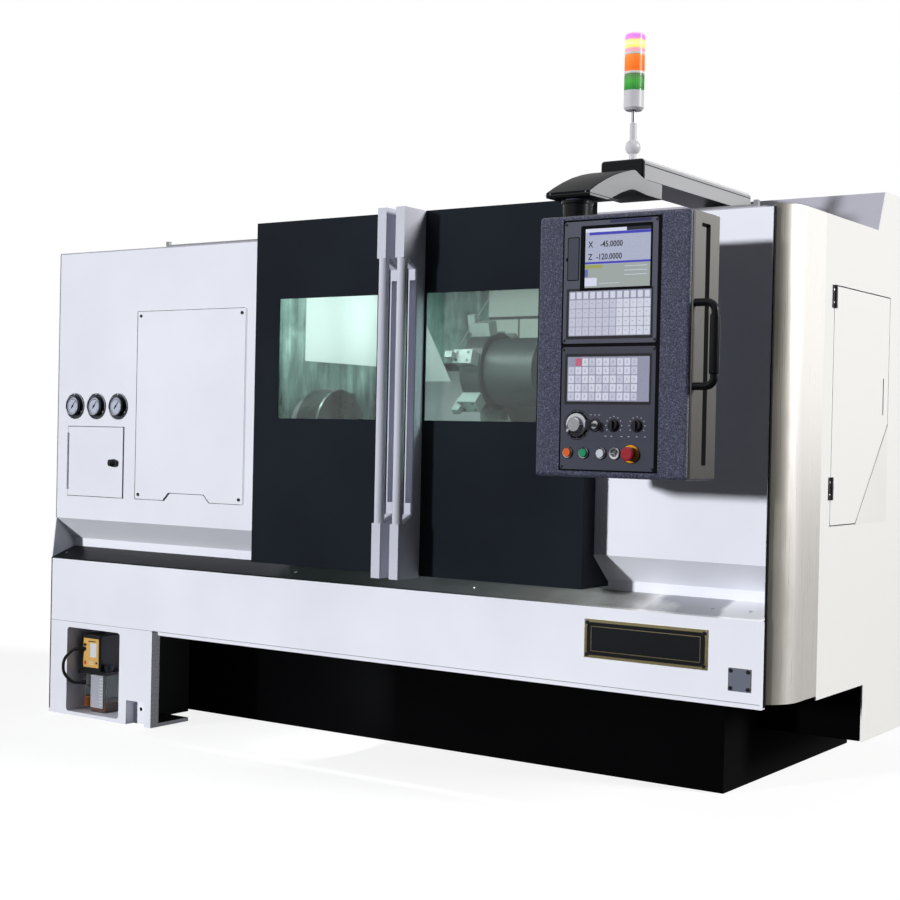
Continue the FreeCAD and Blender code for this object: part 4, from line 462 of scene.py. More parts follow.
# Filler cap in black and filter cup in amber, both in one node.
CUP_PLASTIC = split_finish("amber_cup_and_black_cap", "X", -1.12, "#6E3A18", "#22242C",
                           0.25)
# Brown oil in the tank, smooth and glossy.
OIL_FILM = moulded_plastic("brown_oil", "#5A2F1E", "#4A2517", 0.15, 6.0, 0.0)
# Printed films of the labels, amber and white, and the red ink on one.
LABEL_AMBER = moulded_plastic("amber_label_film", "#D9B068", "#CFA257", 0.4, 3.0, 0.0)
LABEL_WHITE = moulded_plastic("white_label_film", "#D9DADF", "#CDCED4", 0.45, 3.0, 0.0)
LABEL_RED = moulded_plastic("red_ink", "#B5281E", "#A52018", 0.4)
# Coloured ABS of the push buttons, glossy from use.
RED_BUTTON = moulded_plastic("red_abs", "#9C2430", "#861B27", 0.3)
GREEN_BUTTON = moulded_plastic("green_abs", "#1D8E62", "#177A53", 0.3)
ORANGE_BUTTON = moulded_plastic("orange_abs", "#D9652F", "#C85827", 0.3)
WHITE_BUTTON = moulded_plastic("white_abs", "#C9CDD6", "#BBC0CA", 0.3)
# Polyester film of the keypads: grey ground, embossed keys in three tones.
KEY_FILM = moulded_plastic("polyester_key_film", "#9A9BB0", "#9091A6", 0.4)
KEY_DOME = moulded_plastic("embossed_key_film", "#C9CADA", "#C2C3D4", 0.35)
PALE_KEY = moulded_plastic("pale_key_film", "#D9DBE8", "#D1D3E1", 0.35)
PINK_KEY = moulded_plastic("pink_key_film", "#C86A80", "#BC5E74", 0.4)
# Inks of the keys, the scales and the numbers, flat.
KEY_INK = moulded_plastic("key_ink", "#9497AC", "#8B8EA4", 0.5)
TICK_INK = moulded_plastic("white_ink", "#B4B8C4", "#AAAEBB", 0.5)
DIGIT_INK = moulded_plastic("black_ink", "#20232B", "#1B1E26", 0.5)
# Blue strip over the display, and the yellow ring of the mushroom button.
BLUE_STRIP = moulded_plastic("blue_film", "#24284E", "#1F2348", 0.4)
YELLOW_ABS = moulded_plastic("yellow_abs", "#D9952A", "#CC8A22", 0.4)
# Glass over the display, faintly lit from behind.
SCREEN_FILM = moulded_plastic("display_glass", "#8F93A4", "#888C9D", 0.2, 4.0, 0.0,
                              {"Emission Color": linear("#A9B0C8"),
                               "Emission Strength": 0.35})
# Areas of the lit display, each a flat colour that glows a little.
HEAD_GLOW = glowing("display_white", "#B9BCCB", 0.4)
BLUE_GLOW = glowing("display_blue", "#3A3AA0", 0.25)
DARK_GLOW = glowing("display_black", "#0E1120", 0.02)
GREY_GLOW = glowing("display_grey", "#8C9390", 0.3)
OLIVE_GLOW = glowing("display_olive", "#8C9150", 0.25)
# Satin chrome of rings, scales and the rod of the signal lamp.
SATIN_CHROME = turned_metal("satin_chrome", "#C9CBD0", "#B2B4B9", 0.25)
# Signal lenses; the red one is lit, and the glow of the unlit green and orange ones is painted
# light.
GREEN_LENS = graded("green_acrylic_painted_glow", "Z", 1.835, 1.880,
                    ((0.0, "#1E7A2A"), (0.5, "#43A63C"), (0.95, "#5C7A52")), 0.18, 0.25)
ORANGE_LENS = graded("orange_acrylic_painted_glow", "Z", 1.884, 1.929,
                     ((0.0, "#E86A18"), (0.5, "#F57A20"), (0.95, "#EE8A3C")), 0.18, 0.35)
RED_LENS = graded("lit_red_acrylic", "Z", 1.933, 1.982,
                  ((0.0, "#F08CB0"), (0.16, "#F6A0A0"), (0.28, "#FFE86A"),
                   (0.45, "#FFF3A8"), (0.58, "#FFE070"), (0.68, "#EE86C8"),
                   (0.84, "#C070D8"), (1.0, "#EFA8CC")), 0.18, 0.55)
# Gauge dials behind their glass, and their dark turned bezels.
DIAL_ENAMEL = moulded_plastic("dial_enamel", "#BFC4D6", "#B4B9CC", 0.3, 4.0, 0.0)
BEZEL_STEEL = turned_metal("dark_gauge_bezel", "#5A626C", "#3C434B", 0.28)
# Deep black of gaskets on the pendant, and painted shade in its gaps and in the gap beside the
# corner column.
BLACK_RUBBER_AND_GAP_SHADE = coated_sheet("black_rubber_and_gap_shade", "#0B0C0F", "#07080A", 0.6, 3, 0.03, 0.1)
# The control sheets' enamel again, darker at the lower sheet.
LOWER_ENAMEL = coated_sheet("lower_satin_enamel", "#3E404C", "#373944", 0.42, 3, 0.04)
# Glossy black lacquer of the handle, the neck collar and the latch.
GLOSS_BLACK = coated_sheet("gloss_black", "#101114", "#0B0C0E", 0.25, 3, 0.03, 0.15)
# Blue tab at the display's left.
BLUE_TAB = glowing("display_tab_blue", "#5A66A0", 0.2)
# Blue-black gauge needles, grey paint of the side's seams, grey label of the tank.
NEEDLE_INK = moulded_plastic("needle_ink", "#22304E", "#1C2943", 0.4)
SEAM_GREY = moulded_plastic("seam_grey", "#8B8C92", "#808187", 0.6)
LABEL_GREY = moulded_plastic("grey_label_film", "#A9ABB4", "#9FA1AA", 0.45, 3.0, 0.0)
# Pale enamelled sheets on the lining's rear wall, seen through the left window.
PALE_LINER = coated_sheet("pale_liner_enamel", "#B9BFB8", "#ABB2AB", 0.35, 6, 0.05)
# White tube of the work lamp.
LAMP_GLOW = glowing("lamp_tube", "#F4FFFC", 3.0)

SLOT_FINISH = {
    WHITE_SHEET: ("lower_front_panel", "left_cover", "right_front_panel",
                  "inspection_cover", "hatch_door"),
    LEG_COAT: ("leg_cabinet",),
    SIDE_SHEET: ("right_side_panel", "side_door"),
    HOOD_SHEET: ("roof_panel", "rear_hood"),
    FLAT_BLACK_AND_SHADE: ("plinth",),
    SILL_STEEL: ("sill",),
    CORNER_STEEL: ("corner_column",),
    ZINC_STEEL: ("door_rail",),
    BLACK_OXIDE: ("panel_screws", "hatch_latch"),
    PLATE_BRASS: ("data_plates",),
    BEZEL_STEEL: ("pressure_gauges",),
    BLACK_ABS: ("pump_box", "pendant_handle", "left_knob", "right_knob", "keypads"),
    TANK_PLASTIC: ("oil_tank",),
    CUP_PLASTIC: ("tank_caps",),
    CABLE_RUBBER: ("pump_cable",),
    DOOR_ENAMEL: ("left_door", "right_door"),
    DOOR_GLASS: ("left_window", "right_window"),
    PULL_LACQUER: ("left_handle", "right_handle"),
    HAMMER_ENAMEL: ("pendant_case",),
    BRACKET_SHEET: ("pendant_bracket",),
    BED_PAINT: ("bed", "headstock", "carriage", "tailstock", "spindle_motor"),
    LINER_STEEL: ("chamber_liner",),
    CHUCK_STEEL: ("spindle", "chuck", "jaw_1", "jaw_2", "jaw_3", "quill"),
    SATIN_CHROME: ("handwheel", "key_switch"),
    TURRET_STEEL: ("turret", "cross_slide"),
    BLOCK_STEEL: ("tool_blocks",),
    BEAM_SHEET: ("boom_arm",),
    ELBOW_SHEET: ("boom_elbow",),
    GREY_ABS: ("stack_pole", "stack_lenses"),
    RED_BUTTON: ("estop",),
    GREEN_BUTTON: ("green_button",),
    ORANGE_BUTTON: ("orange_button",),
    WHITE_BUTTON: ("white_button",),
    SCREEN_FILM: ("screen",),
}

for finish, names in SLOT_FINISH.items():
    for name in names:
        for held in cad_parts[name].material_slots:
            held.material = finish


# ---------------------------------------------------------------- modelling helpers

FRONT, UP = (0, -1, 0), (0, 0, 1)


def cube(mesh, low, high):
    """Adds a plain box between two corners and gives back its verts."""
    low, high = Vector(low), Vector(high)
    shape = Matrix.Translation((low + high) / 2) @ Matrix.Diagonal((*(high - low), 1))
    return bmesh.ops.create_cube(mesh, size=1.0, matrix=shape)["verts"]


def bevelled(mesh, edges, wide, steps):
    """Rounds edges over a width in metres and gives back what is made."""
    return bmesh.ops.bevel(mesh, geom=list(edges), offset=wide, segments=steps,
                           profile=0.5, affect="EDGES", material=-1)


def block(mesh, low, high, round_mm=0.0):
    """Adds a block between two corners, with all its edges rounded."""
    made = cube(mesh, low, high)
    if round_mm:
        bevelled(mesh, {edge for vert in made for edge in vert.link_edges},
                 round_mm * MM, 2)


def plate(mesh, low, high, axis, corner_mm, rim_mm=0.3):
    """Adds a thin plate with rounded corners across one axis and a broken rim."""
    edges = {edge for vert in cube(mesh, low, high) for edge in vert.link_edges}
    index = "XYZ".index(axis)
    posts = [edge for edge in edges
             if abs((edge.verts[0].co - edge.verts[1].co)[index]) > 1e-7]
    made = bevelled(mesh, posts, corner_mm * MM, 5)["verts"]
    faces = {face for vert in made for face in vert.link_faces}
    ends = [face for face in faces if abs(face.normal[index]) > 0.9]
    if rim_mm:
        bevelled(mesh, {edge for face in ends for edge in face.edges}, rim_mm * MM, 1)


def drum(mesh, base, axis, radius, height, sides=40, tip=None):
    """Adds a closed drum or cone that stands on base and points along axis."""
    way = Vector(axis).normalized()
    turn = way.to_track_quat("Z", "Y").to_matrix().to_4x4()
    middle = Matrix.Translation(Vector(base) + way * height / 2)
    bmesh.ops.create_cone(mesh, cap_ends=True, segments=sides, radius1=radius,
                          radius2=radius if tip is None else tip, depth=height,
                          matrix=middle @ turn)


def spun(mesh, profile_mm, base, axis=FRONT, steps=48):
    """Adds a profile of (radius, height) points in mm, turned round the axis at base."""
    old = set(mesh.verts)
    verts = [mesh.verts.new((radius * MM, 0, height * MM)) for radius, height in profile_mm]
    edges = [mesh.edges.new(pair) for pair in zip(verts, verts[1:])]
    bmesh.ops.spin(mesh, geom=verts + edges, cent=(0, 0, 0), axis=(0, 0, 1),
                   angle=2 * math.pi, steps=steps, use_merge=True)
    new = [vert for vert in mesh.verts if vert not in old]
    turn = Vector(axis).to_track_quat("Z", "Y").to_matrix().to_4x4()
    bmesh.ops.transform(mesh, matrix=Matrix.Translation(base) @ turn, verts=new)


def prism(mesh, outline, depth):
    """Adds a flat outline of places, drawn out along depth."""
    face = mesh.faces.new([mesh.verts.new(spot) for spot in outline])
    made = bmesh.ops.extrude_face_region(mesh, geom=[face])["geom"]
    verts = [item for item in made if isinstance(item, bmesh.types.BMVert)]
    bmesh.ops.translate(mesh, vec=depth, verts=verts)


def border(mesh, low, high, wide):
    """Adds a flat frame of four bars along the rim of an upright box, seen from the front."""
    for across in (2, 0):
        for start in (low[across], high[across] - wide):
            near, far = Vector(low), Vector(high)
            near[across], far[across] = start, start + wide
            block(mesh, near, far)


def piece(name, finish, where, shapes, smooth=35, stands_for=()):
    """Makes a piece of shapes, each a function and what it takes after the mesh.

    The piece rides on the body that where names, and takes the finish it is given; the slot
    that where also names is not read.
    """
    mesh = bmesh.new()
    for shape, *given in shapes:
        shape(mesh, *given)
    bmesh.ops.remove_doubles(mesh, verts=mesh.verts, dist=1e-6)
    bmesh.ops.recalc_face_normals(mesh, faces=mesh.faces)
    data = bpy.data.meshes.new(name)
    mesh.to_mesh(data)
    mesh.free()
    data.materials.append(finish)
    data.shade_smooth()
    data.set_sharp_from_angle(angle=math.radians(smooth))
    made = bpy.data.objects.new(name, data)
    SCENE.collection.objects.link(made)
    body, slot = where
    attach(made, body)
    if stands_for:
        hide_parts(*stands_for)


def middle_of(name):
    """Middle of a node's box."""
    low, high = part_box(name)
    return (low + high) / 2


def clock(degrees):
    """Way out from a dial's middle, turned clockwise from its top."""
    angle = math.radians(degrees)
    return Vector((math.sin(angle), 0, math.cos(angle)))


def level_way(degrees):
    """Way out from an upright axis, turned from the machine's right towards its back."""
    angle = math.radians(degrees)
    return Vector((math.cos(angle), math.sin(angle), 0))


# ---------------------------------------------------------------- pendant face

CASE, SCREEN, KEYPADS = [("pendant", slot) for slot in ("pendant_case", "screen", "keypads")]
CASE_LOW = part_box("pendant_case")[0]
INSET_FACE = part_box("screen")[1].y
BUTTONS = ("orange_button", "green_button", "white_button")
KNOBS = ("left_knob", "right_knob")


def face_spot(u, v, proud=0.0):
    """World place on the pendant's inset: u from its left, v from its foot, in mm."""
    return Vector((CASE_LOW.x + u * MM, INSET_FACE - proud * MM, CASE_LOW.z + v * MM))


def face_plate(mesh, u0, v0, u1, v1, low, high, corner=3.0, rim=0.2):
    """Adds a plate on the inset; low and high are how far its back and face stand proud."""
    plate(mesh, face_spot(u0, v0, high), face_spot(u1, v1, low), "Y", corner, rim)


def face_block(mesh, u0, v0, u1, v1, low, high):
    """Adds a sharp block on the inset, placed like a face_plate."""
    block(mesh, face_spot(u0, v0, high), face_spot(u1, v1, low))


def control_spot(name, proud=0.0):
    """Place on the inset behind a control's middle, some mm proud of the inset."""
    spot = middle_of(name)
    return Vector((spot.x, INSET_FACE - proud * MM, spot.z))


def ring_of(mesh, name, profile, steps=48):
    """Adds a profile turned round the axis of one control."""
    spun(mesh, profile, control_spot(name), FRONT, steps)


def control_sheets():
    """Two control sheets on a black backing, painted shade that shows in the gaps between and
    beside them.
    """
    # The black backing stands for the shade of deep gaps: painted shade.
    for name, finish, *spots in (
            ("control_gasket", BLACK_RUBBER_AND_GAP_SHADE, 66.3, 14.3, 324.7, 600.7, -0.1, 0.4, 1),
            ("upper_control_sheet", PANEL_ENAMEL, 69, 312, 315, 597, 0.2, 1.2, 6, 0.5),
            ("lower_control_sheet", LOWER_ENAMEL, 69, 18, 315, 304, 0.2, 1.2, 6, 0.5),
            ("dial_sheet", LOWER_ENAMEL, 74, 86, 309, 160, 1.1, 1.5, 2, 0.3)):
        piece(name, finish, CASE, [(face_plate, *spots)])
    screw = [(0, 2.6), (2.4, 2.4), (3.6, 1.2), (3.6, 0)]
    piece("control_sheet_screws", BLACK_OXIDE, CASE,
          [(spun, screw, face_spot(u, v), FRONT, 16)
           for u in (74, 311) for v in (591, 319, 298, 24)])
    piece("blue_strip", BLUE_STRIP, CASE, [(face_plate, 190, 589.5, 297, 596, 1.1, 1.4, 1, 0)])


def card_slot():
    """Lid of the slot for memory cards, in its dark rim with a round finger notch."""
    piece("card_slot_rim", BLACK_RUBBER_AND_GAP_SHADE, CASE,
          [(face_plate, 78, 459, 110, 561, 0.9, 1.4, 4),
           (drum, face_spot(78, 509, 0.9), FRONT, 0.0045, 0.0005, 20)])
    piece("card_slot_lid", LOWER_ENAMEL, CASE,
          [(face_plate, 80, 461, 108, 559, 1.2, 1.7, 3, 0.3)])


def display():
    """Black surround of the display, and the plain position readout that it shows."""
    piece("display_surround", BLACK_RUBBER_AND_GAP_SHADE, SCREEN,
          [(face_plate, 113, 433, 301, 586, 0.9, 1.6, 4, 0.3)])
    piece("display_glass", SCREEN_FILM, SCREEN,
          [(face_plate, 126, 441, 296, 578, 1.4, 1.75, 2, 0)])
    areas = (("display_head", HEAD_GLOW, [(126, 570, 234, 578)]),
             ("display_clock", DARK_GLOW, [(234, 570, 296, 578)]),
             ("display_bars", BLUE_GLOW, [(136, 563, 296, 569.5), (126, 496, 296, 501)]),
             ("display_grid", GREY_GLOW, [(126, 441, 296, 495)]),
             ("display_mark", OLIVE_GLOW, [(126, 486, 172, 494)]),
             ("display_tab", BLUE_TAB, [(126, 466, 134, 484)]),
             ("display_note", HEAD_GLOW, [(126, 445, 158, 464), (230, 488, 288, 489.2),
                                          (230, 478, 288, 479.2), (230, 468, 288, 469.2),
                                          (164, 450, 218, 451)]))
    for level, (name, finish, spots) in enumerate(areas):
        piece(name, finish, SCREEN,
              [(face_block, *spot, 1.6, 1.8 + 0.04 * level) for spot in spots])
    for words, u, v in (("X", 134, 535), ("Z", 134, 506), ("-45.0000", 165, 535),
                        ("-120.0000", 155, 506)):
        piece("readout_%d_%d" % (u, v), DIGIT_INK, SCREEN, [(readout, words, u, v)])


def readout(mesh, words, u, v):
    """Adds plain axis letters and numbers to the display, as flat raised shapes."""
    curve = bpy.data.curves.new("readout", "FONT")
    curve.body = words
    curve.size = 19.5 * MM
    curve.extrude = 0.1 * MM
    curve.offset = 0.3 * MM
    curve.resolution_u = 2
    holder = bpy.data.objects.new("readout", curve)
    SCENE.collection.objects.link(holder)
    shown = bpy.data.meshes.new_from_object(holder.evaluated_get(
        bpy.context.evaluated_depsgraph_get()))
    bpy.data.objects.remove(holder)
    mesh.from_mesh(shown)
    stand = (Matrix.Translation(face_spot(u, v, 1.9)) @ Matrix.Rotation(math.pi / 2, 4, "X")
             @ Matrix.Diagonal((0.86, 1, 1, 1)))
    bmesh.ops.transform(mesh, matrix=stand, verts=mesh.verts)


def key_fields():
    """Two membrane keypads: film in a dark border, with raised key domes."""
    for name, low, high in (("upper", 329, 434), ("lower", 177, 281)):
        piece(name + "_key_film", KEY_FILM, KEYPADS,
              [(face_plate, 85, low, 300, high, 1.2, 1.9, 2)])
    piece("soft_keys", PALE_KEY, KEYPADS,
          [(face_plate, 88 + 17.8 * key, 416, 101 + 17.8 * key, 431.5, 1.7, 2.3, 1.5)
           for key in range(12)])
    grey, pale, marks = [], [], []
    for row in range(4):
        for column in range(12):
            u, v = 86.3 + 17.8 * column, 330 + 21 * row
            keys = grey if column < 7 else pale
            keys.append((face_plate, u + 0.6, v + 0.6, u + 17, v + 20.2, 1.7, 2.3, 1))
            marks.append((face_block, u + 5, v + 11, u + 10, v + 12.2, 2.2, 2.36))
    for row in range(5):
        # The top row starts with its third key and the shade of the second.
        for column in range(2 if row == 4 else 0, 10):
            u, v = 87 + 18.4 * column, 179 + 20 * row
            keys = pale if (column if row == 4 else row + column) % 3 else grey
            keys.append((face_plate, u + 0.8, v + 0.8, u + 16.8, v + 18.4, 1.7, 2.3, 1))
            marks.append((face_block, u + 5, v + 7, u + 11, v + 8.2, 2.2, 2.36))
            marks.append((face_block, u + 7, v + 10, u + 9, v + 13, 2.2, 2.36))
    piece("key_domes", KEY_DOME, KEYPADS, grey)
    piece("pale_key_domes", PALE_KEY, KEYPADS, pale)
    piece("key_marks", KEY_INK, KEYPADS, marks)
    piece("pink_key", PINK_KEY, KEYPADS,
          [(face_plate, 106.2, 259.8, 122.2, 277.4, 1.7, 2.35, 1.2)])


def control_rings():
    """Bezels round the buttons and knobs, and the tick marks that the knobs point at."""
    button = [(10.6, 0), (10.6, 4.2), (12, 5), (14, 3.8), (14.6, 0), (10.6, 0)]
    knob = [(12.8, 0.5), (12.8, 2.4), (14, 2.8), (15.4, 2.2), (15.4, 0.5), (12.8, 0.5)]
    key = [(12.8, 0.5), (12.8, 4.4), (15.4, 4), (16.4, 0.5), (12.8, 0.5)]
    inner = [(10.9, 4), (10.9, 5.2), (12.2, 5.4), (12.8, 4.6), (12.8, 4), (10.9, 4)]
    collar = [(8.2, 0), (8.2, 4.4), (19, 4.4), (21, 3), (21, 0), (8.2, 0)]
    rim = [(21, 0), (21, 3.2), (22.6, 2.6), (23.2, 0), (21, 0)]
    scale = [(28, 1.3), (28, 2.3), (34, 2.3), (35, 1.8), (35, 1.3), (28, 1.3)]
    piece("control_bezels", BLACK_ABS, CASE,
          [(ring_of, name, button) for name in BUTTONS]
          + [(ring_of, name, knob) for name in KNOBS] + [(ring_of, "key_switch", key)])
    piece("button_rings", SATIN_CHROME, CASE, [(ring_of, name, inner) for name in BUTTONS])
    piece("estop_yellow_ring", YELLOW_ABS, ("pendant", "estop"), [(ring_of, "estop", collar)])
    piece("estop_rim", BLACK_ABS, CASE, [(ring_of, "estop", rim)])
    piece("panel_ticks", TICK_INK, CASE,
          [(drum, control_spot(name, 1.4) + clock(turn) * 0.0205, FRONT, 0.0014, 0.0003, 8)
           for name in KNOBS for turn in range(-120, 121, 30)]
          + [(face_block, u - 2.5, 96, u + 2.5, 97.6, 1.4, 1.7)
             for u in (190, 205, 232, 250, 271, 292)]
          + [(face_block, u - 2, 145, u + 2, 146.6, 1.4, 1.7) for u in (150, 161, 172)])
    piece("wheel_scale", BLACK_RUBBER_AND_GAP_SHADE, CASE, [(ring_of, "handwheel", scale, 64)])
    lines = []
    for index in range(50):
        way = clock(7.2 * index)
        start = 0.0315 if index % 5 else 0.0300
        lines.append((drum, control_spot("handwheel", 2.4) + way * start, way, 0.0004,
                      0.0340 - start, 6))
    piece("wheel_graduations", TICK_INK, CASE, lines)
    bezel = [(7.6, 0.2), (7.6, 1.4), (9, 2.2), (13, 2.2), (14.2, 0.8), (14.2, 0.2),
             (7.6, 0.2)]
    lens = [(0, 2.2), (4, 2.0), (6.4, 1.4), (7.4, 0)]
    piece("lamp_bezel", SATIN_CHROME, CASE, [(spun, bezel, face_spot(215, 57, 4))])
    piece("lamp_lens", PANEL_ENAMEL, CASE, [(spun, lens, face_spot(215, 57, 4))])
    piece("lamp_spokes", SATIN_CHROME, CASE,
          [(drum, face_spot(215, 57, 5.8), clock(turn), 0.0011, 0.0078, 10)
           for turn in (30, 150, 270)])


def neck_fittings():
    """Collar of the pendant's neck, with its six screws."""
    low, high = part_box("pendant_case")
    case_tall, neck_back = 0.612, 0.113
    base = Vector((middle_of("boom_arm").x, low.y + neck_back, low.z + case_tall))
    tall = (high.z - base.z) / MM
    collar = [(34.2, 0.2), (44, 0.2), (44, 5), (40, 7), (36, 8), (36, tall - 14),
              (39, tall - 12), (39, tall - 5), (34.2, tall - 5), (34.2, 0.2)]
    piece("neck_collar", GLOSS_BLACK, CASE, [(spun, collar, base, UP, 64)])
    screw = [(0, 2.2), (1.6, 2.2), (2, 1.8), (2, 0)]
    piece("collar_screws", SATIN_CHROME, CASE,
          [(spun, screw, base + level_way(20 + 60 * index) * 0.0405 + Vector((0, 0, 0.005)),
            UP, 12) for index in range(6)])


def grab_handle():
    """Thick bow handle with a grip sleeve, which stands for the thin one."""
    low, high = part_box("pendant_handle")
    y, reach = (low.y + high.y) / 2, low.x + 0.050
    sleeve = [(8.5, -68), (11.5, -66), (12, -60), (12, 60), (11.5, 66), (8.5, 68),
              (8.5, -68)]
    where, thin = ("pendant", "pendant_handle"), ("pendant_handle",)
    piece("grab_handle", GLOSS_BLACK, where,
          [(bow, low.x, reach, y, low.z + 0.015, high.z - 0.015)], 40, thin)
    piece("grip_sleeve", GLOSS_BLACK, where,
          [(spun, sleeve, (reach, y, (low.z + high.z) / 2), UP, 40)], 40, thin)


def bow(mesh, wall, reach, y, foot, top):
    """Adds a round bar that leaves a wall, turns down at its reach and comes back."""
    bend, radius, sunk = 0.020, 0.009, 0.001
    straight = reach - bend - wall + sunk
    start = Matrix.Translation((wall - sunk, y, top))
    ring = bmesh.ops.create_circle(mesh, segments=28, radius=radius,
                                   matrix=start @ Matrix.Rotation(math.pi / 2, 4, "Y"))
    rim = list({edge for vert in ring["verts"] for edge in vert.link_edges})
    rim = drawn_out(mesh, rim, (straight, 0, 0))
    rim = bent(mesh, rim, (reach - bend, y, top - bend))
    rim = drawn_out(mesh, rim, (0, 0, foot - top + 2 * bend))
    rim = bent(mesh, rim, (reach - bend, y, foot + bend))
    drawn_out(mesh, rim, (-straight, 0, 0))
    bmesh.ops.holes_fill(mesh, edges=[edge for edge in mesh.edges if edge.is_boundary])


def drawn_out(mesh, rim, way):
    """Draws a ring of edges out along way and gives back the ring at its end."""
    made = bmesh.ops.extrude_edge_only(mesh, edges=rim)["geom"]
    verts = [item for item in made if isinstance(item, bmesh.types.BMVert)]
    bmesh.ops.translate(mesh, vec=way, verts=verts)
    held = set(verts)
    return [item for item in made if isinstance(item, bmesh.types.BMEdge)
            and item.verts[0] in held and item.verts[1] in held]


def bent(mesh, rim, centre):
    """Turns a ring of edges through a quarter round centre, downwards and back."""
    verts = list({vert for edge in rim for vert in edge.verts})
    made = bmesh.ops.spin(mesh, geom=verts + rim, cent=centre, axis=(0, 1, 0),
                          angle=math.pi / 2, steps=8)["geom_last"]
    return [item for item in made if isinstance(item, bmesh.types.BMEdge)]


def bracket_skin():
    """Skin of the pendant's side cover in painted shade, and black plates of painted shade over
    its long slot and the notch at the slot's head.
    """
    low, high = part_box("pendant_bracket")
    where = ("pendant", "pendant_bracket")
    piece("bracket_skin", BRACKET_SHEET, where,
          [(plate, (high.x - 0.0002, low.y + 0.001, low.z + 0.001),
            (high.x + 0.0006, high.y - 0.001, high.z - 0.001), "X", 3)])
    # Black plates wider than the slot and its notch: painted shade of the slot.
    piece("bracket_slot", FLAT_BLACK_AND_SHADE, where,
          [(plate, (high.x + 0.0004, low.y + near, bottom),
            (high.x + 0.0009, low.y + far, high.z - 0.024), "X", 3, 0)
           for near, far, bottom in ((0.058, 0.080, low.z + 0.030),
                                     (0.036, 0.074, high.z - 0.033))])


# ---------------------------------------------------------------- boom and signal lamp

def boom_fittings():
    """End cap and seams of the beam, and the lip and screws of the elbow."""
    low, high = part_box("boom_arm")
    elbow_low, elbow_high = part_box("boom_elbow")
    lap, seam_share = 0.0165, 0.28
    beam_low = elbow_high.z - lap
    seam = high.z - seam_share * (high.z - beam_low)
    piece("beam_end_cap", GLOSS_BLACK, ("boom", "boom_arm"),
          [(plate, (low.x + 0.0005, low.y - 0.009, beam_low + 0.001),
            (high.x - 0.0005, low.y + 0.002, high.z - 0.0005), "Y", 8, 3)])
    piece("beam_seams", TRIM_RUBBER, ("boom", "boom_arm"),
          [(block, (x - 0.0004, low.y + 0.002, seam - 0.0014),
            (x + 0.0004, high.y - 0.002, seam + 0.0014)) for x in (low.x, high.x)])
    low, high = elbow_low, elbow_high
    screw = [(0, 1), (1.3, 0.9), (1.8, 0.4), (1.8, -0.5)]
    piece("elbow_seams", TRIM_RUBBER, ("boom", "boom_elbow"),
          [(block, (low.x - 0.0008, low.y - 0.0008, low.z + 0.0055),
            (high.x + 0.0008, low.y + 0.142, low.z + 0.0075), 0.3)])
    piece("elbow_screws", ZINC_STEEL, ("boom", "boom_elbow"),
          [(spun, screw, (x, low.y, low.z + 0.0095), FRONT, 16)
           for x in (low.x + 0.012, high.x - 0.012)])
    piece("elbow_cover", ELBOW_SHEET, ("boom", "boom_elbow"), [(elbow_shape, low, high)],
          32, ("boom_elbow",))


def elbow_shape(mesh, low, high):
    """Adds the elbow's arched cover, smooth where the core is faceted."""
    top = [(0, 0), (0, 13), (36, 31.5), (78, 50.5), (122, 67.5), (166, 81), (196, 88.5),
           (219, 93.5), (229, 93.5), (237, 91), (255, 84.5), (275, 80), (298, 78.2)]
    under = [(288, 38), (262, 40), (240, 42), (222, 42.5), (206, 41), (192, 37.5),
             (158, 27), (125, 14), (100, 4), (86, 0)]
    back = (high.y - low.y) / MM
    outline = top + [(back, 78.2), (back, 38)] + under
    prism(mesh, [low + Vector((0, y, z)) * MM for y, z in outline],
          (high.x - low.x, 0, 0))
    bevelled(mesh, [edge for edge in mesh.edges
                    if abs(edge.verts[0].co.x - edge.verts[1].co.x) < 1e-6], 0.0022, 3)


def signal_lamp():
    """Three fluted lenses with clear rims, which stand for the plain stack."""
    low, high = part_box("stack_lenses")
    x, y, _ = (low + high) / 2
    tall = (high.z - low.z) / 3 / MM
    foot_ring = [(0, 0), (25.6, 0), (25.6, 1.2), (25.2, 2)]
    flat_top = [(25.2, tall - 8), (25.6, tall - 7.4), (25.6, tall - 6.8), (0, tall - 6.8)]
    round_top = [(25.2, tall - 6), (24.2, tall - 2.6), (21.5, tall - 0.6), (0, tall - 0.3)]
    rim = [(0, tall - 7), (24.6, tall - 7), (26, tall - 6), (26, tall - 1), (25.2, tall),
           (0, tall)]
    where, plain = ("boom", "stack_lenses"), ("stack_lenses",)
    for index, (name, finish) in enumerate((("green_lens", GREEN_LENS),
                                            ("orange_lens", ORANGE_LENS),
                                            ("red_lens", RED_LENS))):
        foot = Vector((x, y, low.z + tall * MM * index))
        top = flat_top if index < 2 else round_top
        piece(name, finish, where, [(spun, foot_ring + top, foot, UP, 64)], 20, plain)
        piece(name + "_flutes", finish, where,
              [(drum, foot + level_way(7.5 * turn) * 0.0251 + Vector((0, 0, 0.004)), UP,
                0.0008, (tall - 14) * MM, 6) for turn in range(48)], 60, plain)
        if index < 2:
            piece(name + "_rim", PALE_RING, where, [(spun, rim, foot, UP, 64)], 35, plain)
    base_tall = 0.049
    rod = [(5.1, -31), (5.6, -31), (5.6, -1), (5.1, -1), (5.1, -31)]
    nut = [(10, -0.6), (18, -0.6), (20, 2), (20, 4), (10, 4), (10, -0.6)]
    piece("signal_lamp_rod", SATIN_CHROME, ("boom", "stack_pole"),
          [(spun, rod, (x, y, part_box("stack_pole")[1].z - base_tall), UP, 32)])
    piece("signal_lamp_foot", GREY_ABS, ("boom", "stack_pole"),
          [(spun, nut, (x, y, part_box("boom_arm")[1].z + 0.0006), UP, 40)])


# ---------------------------------------------------------------- front and right side

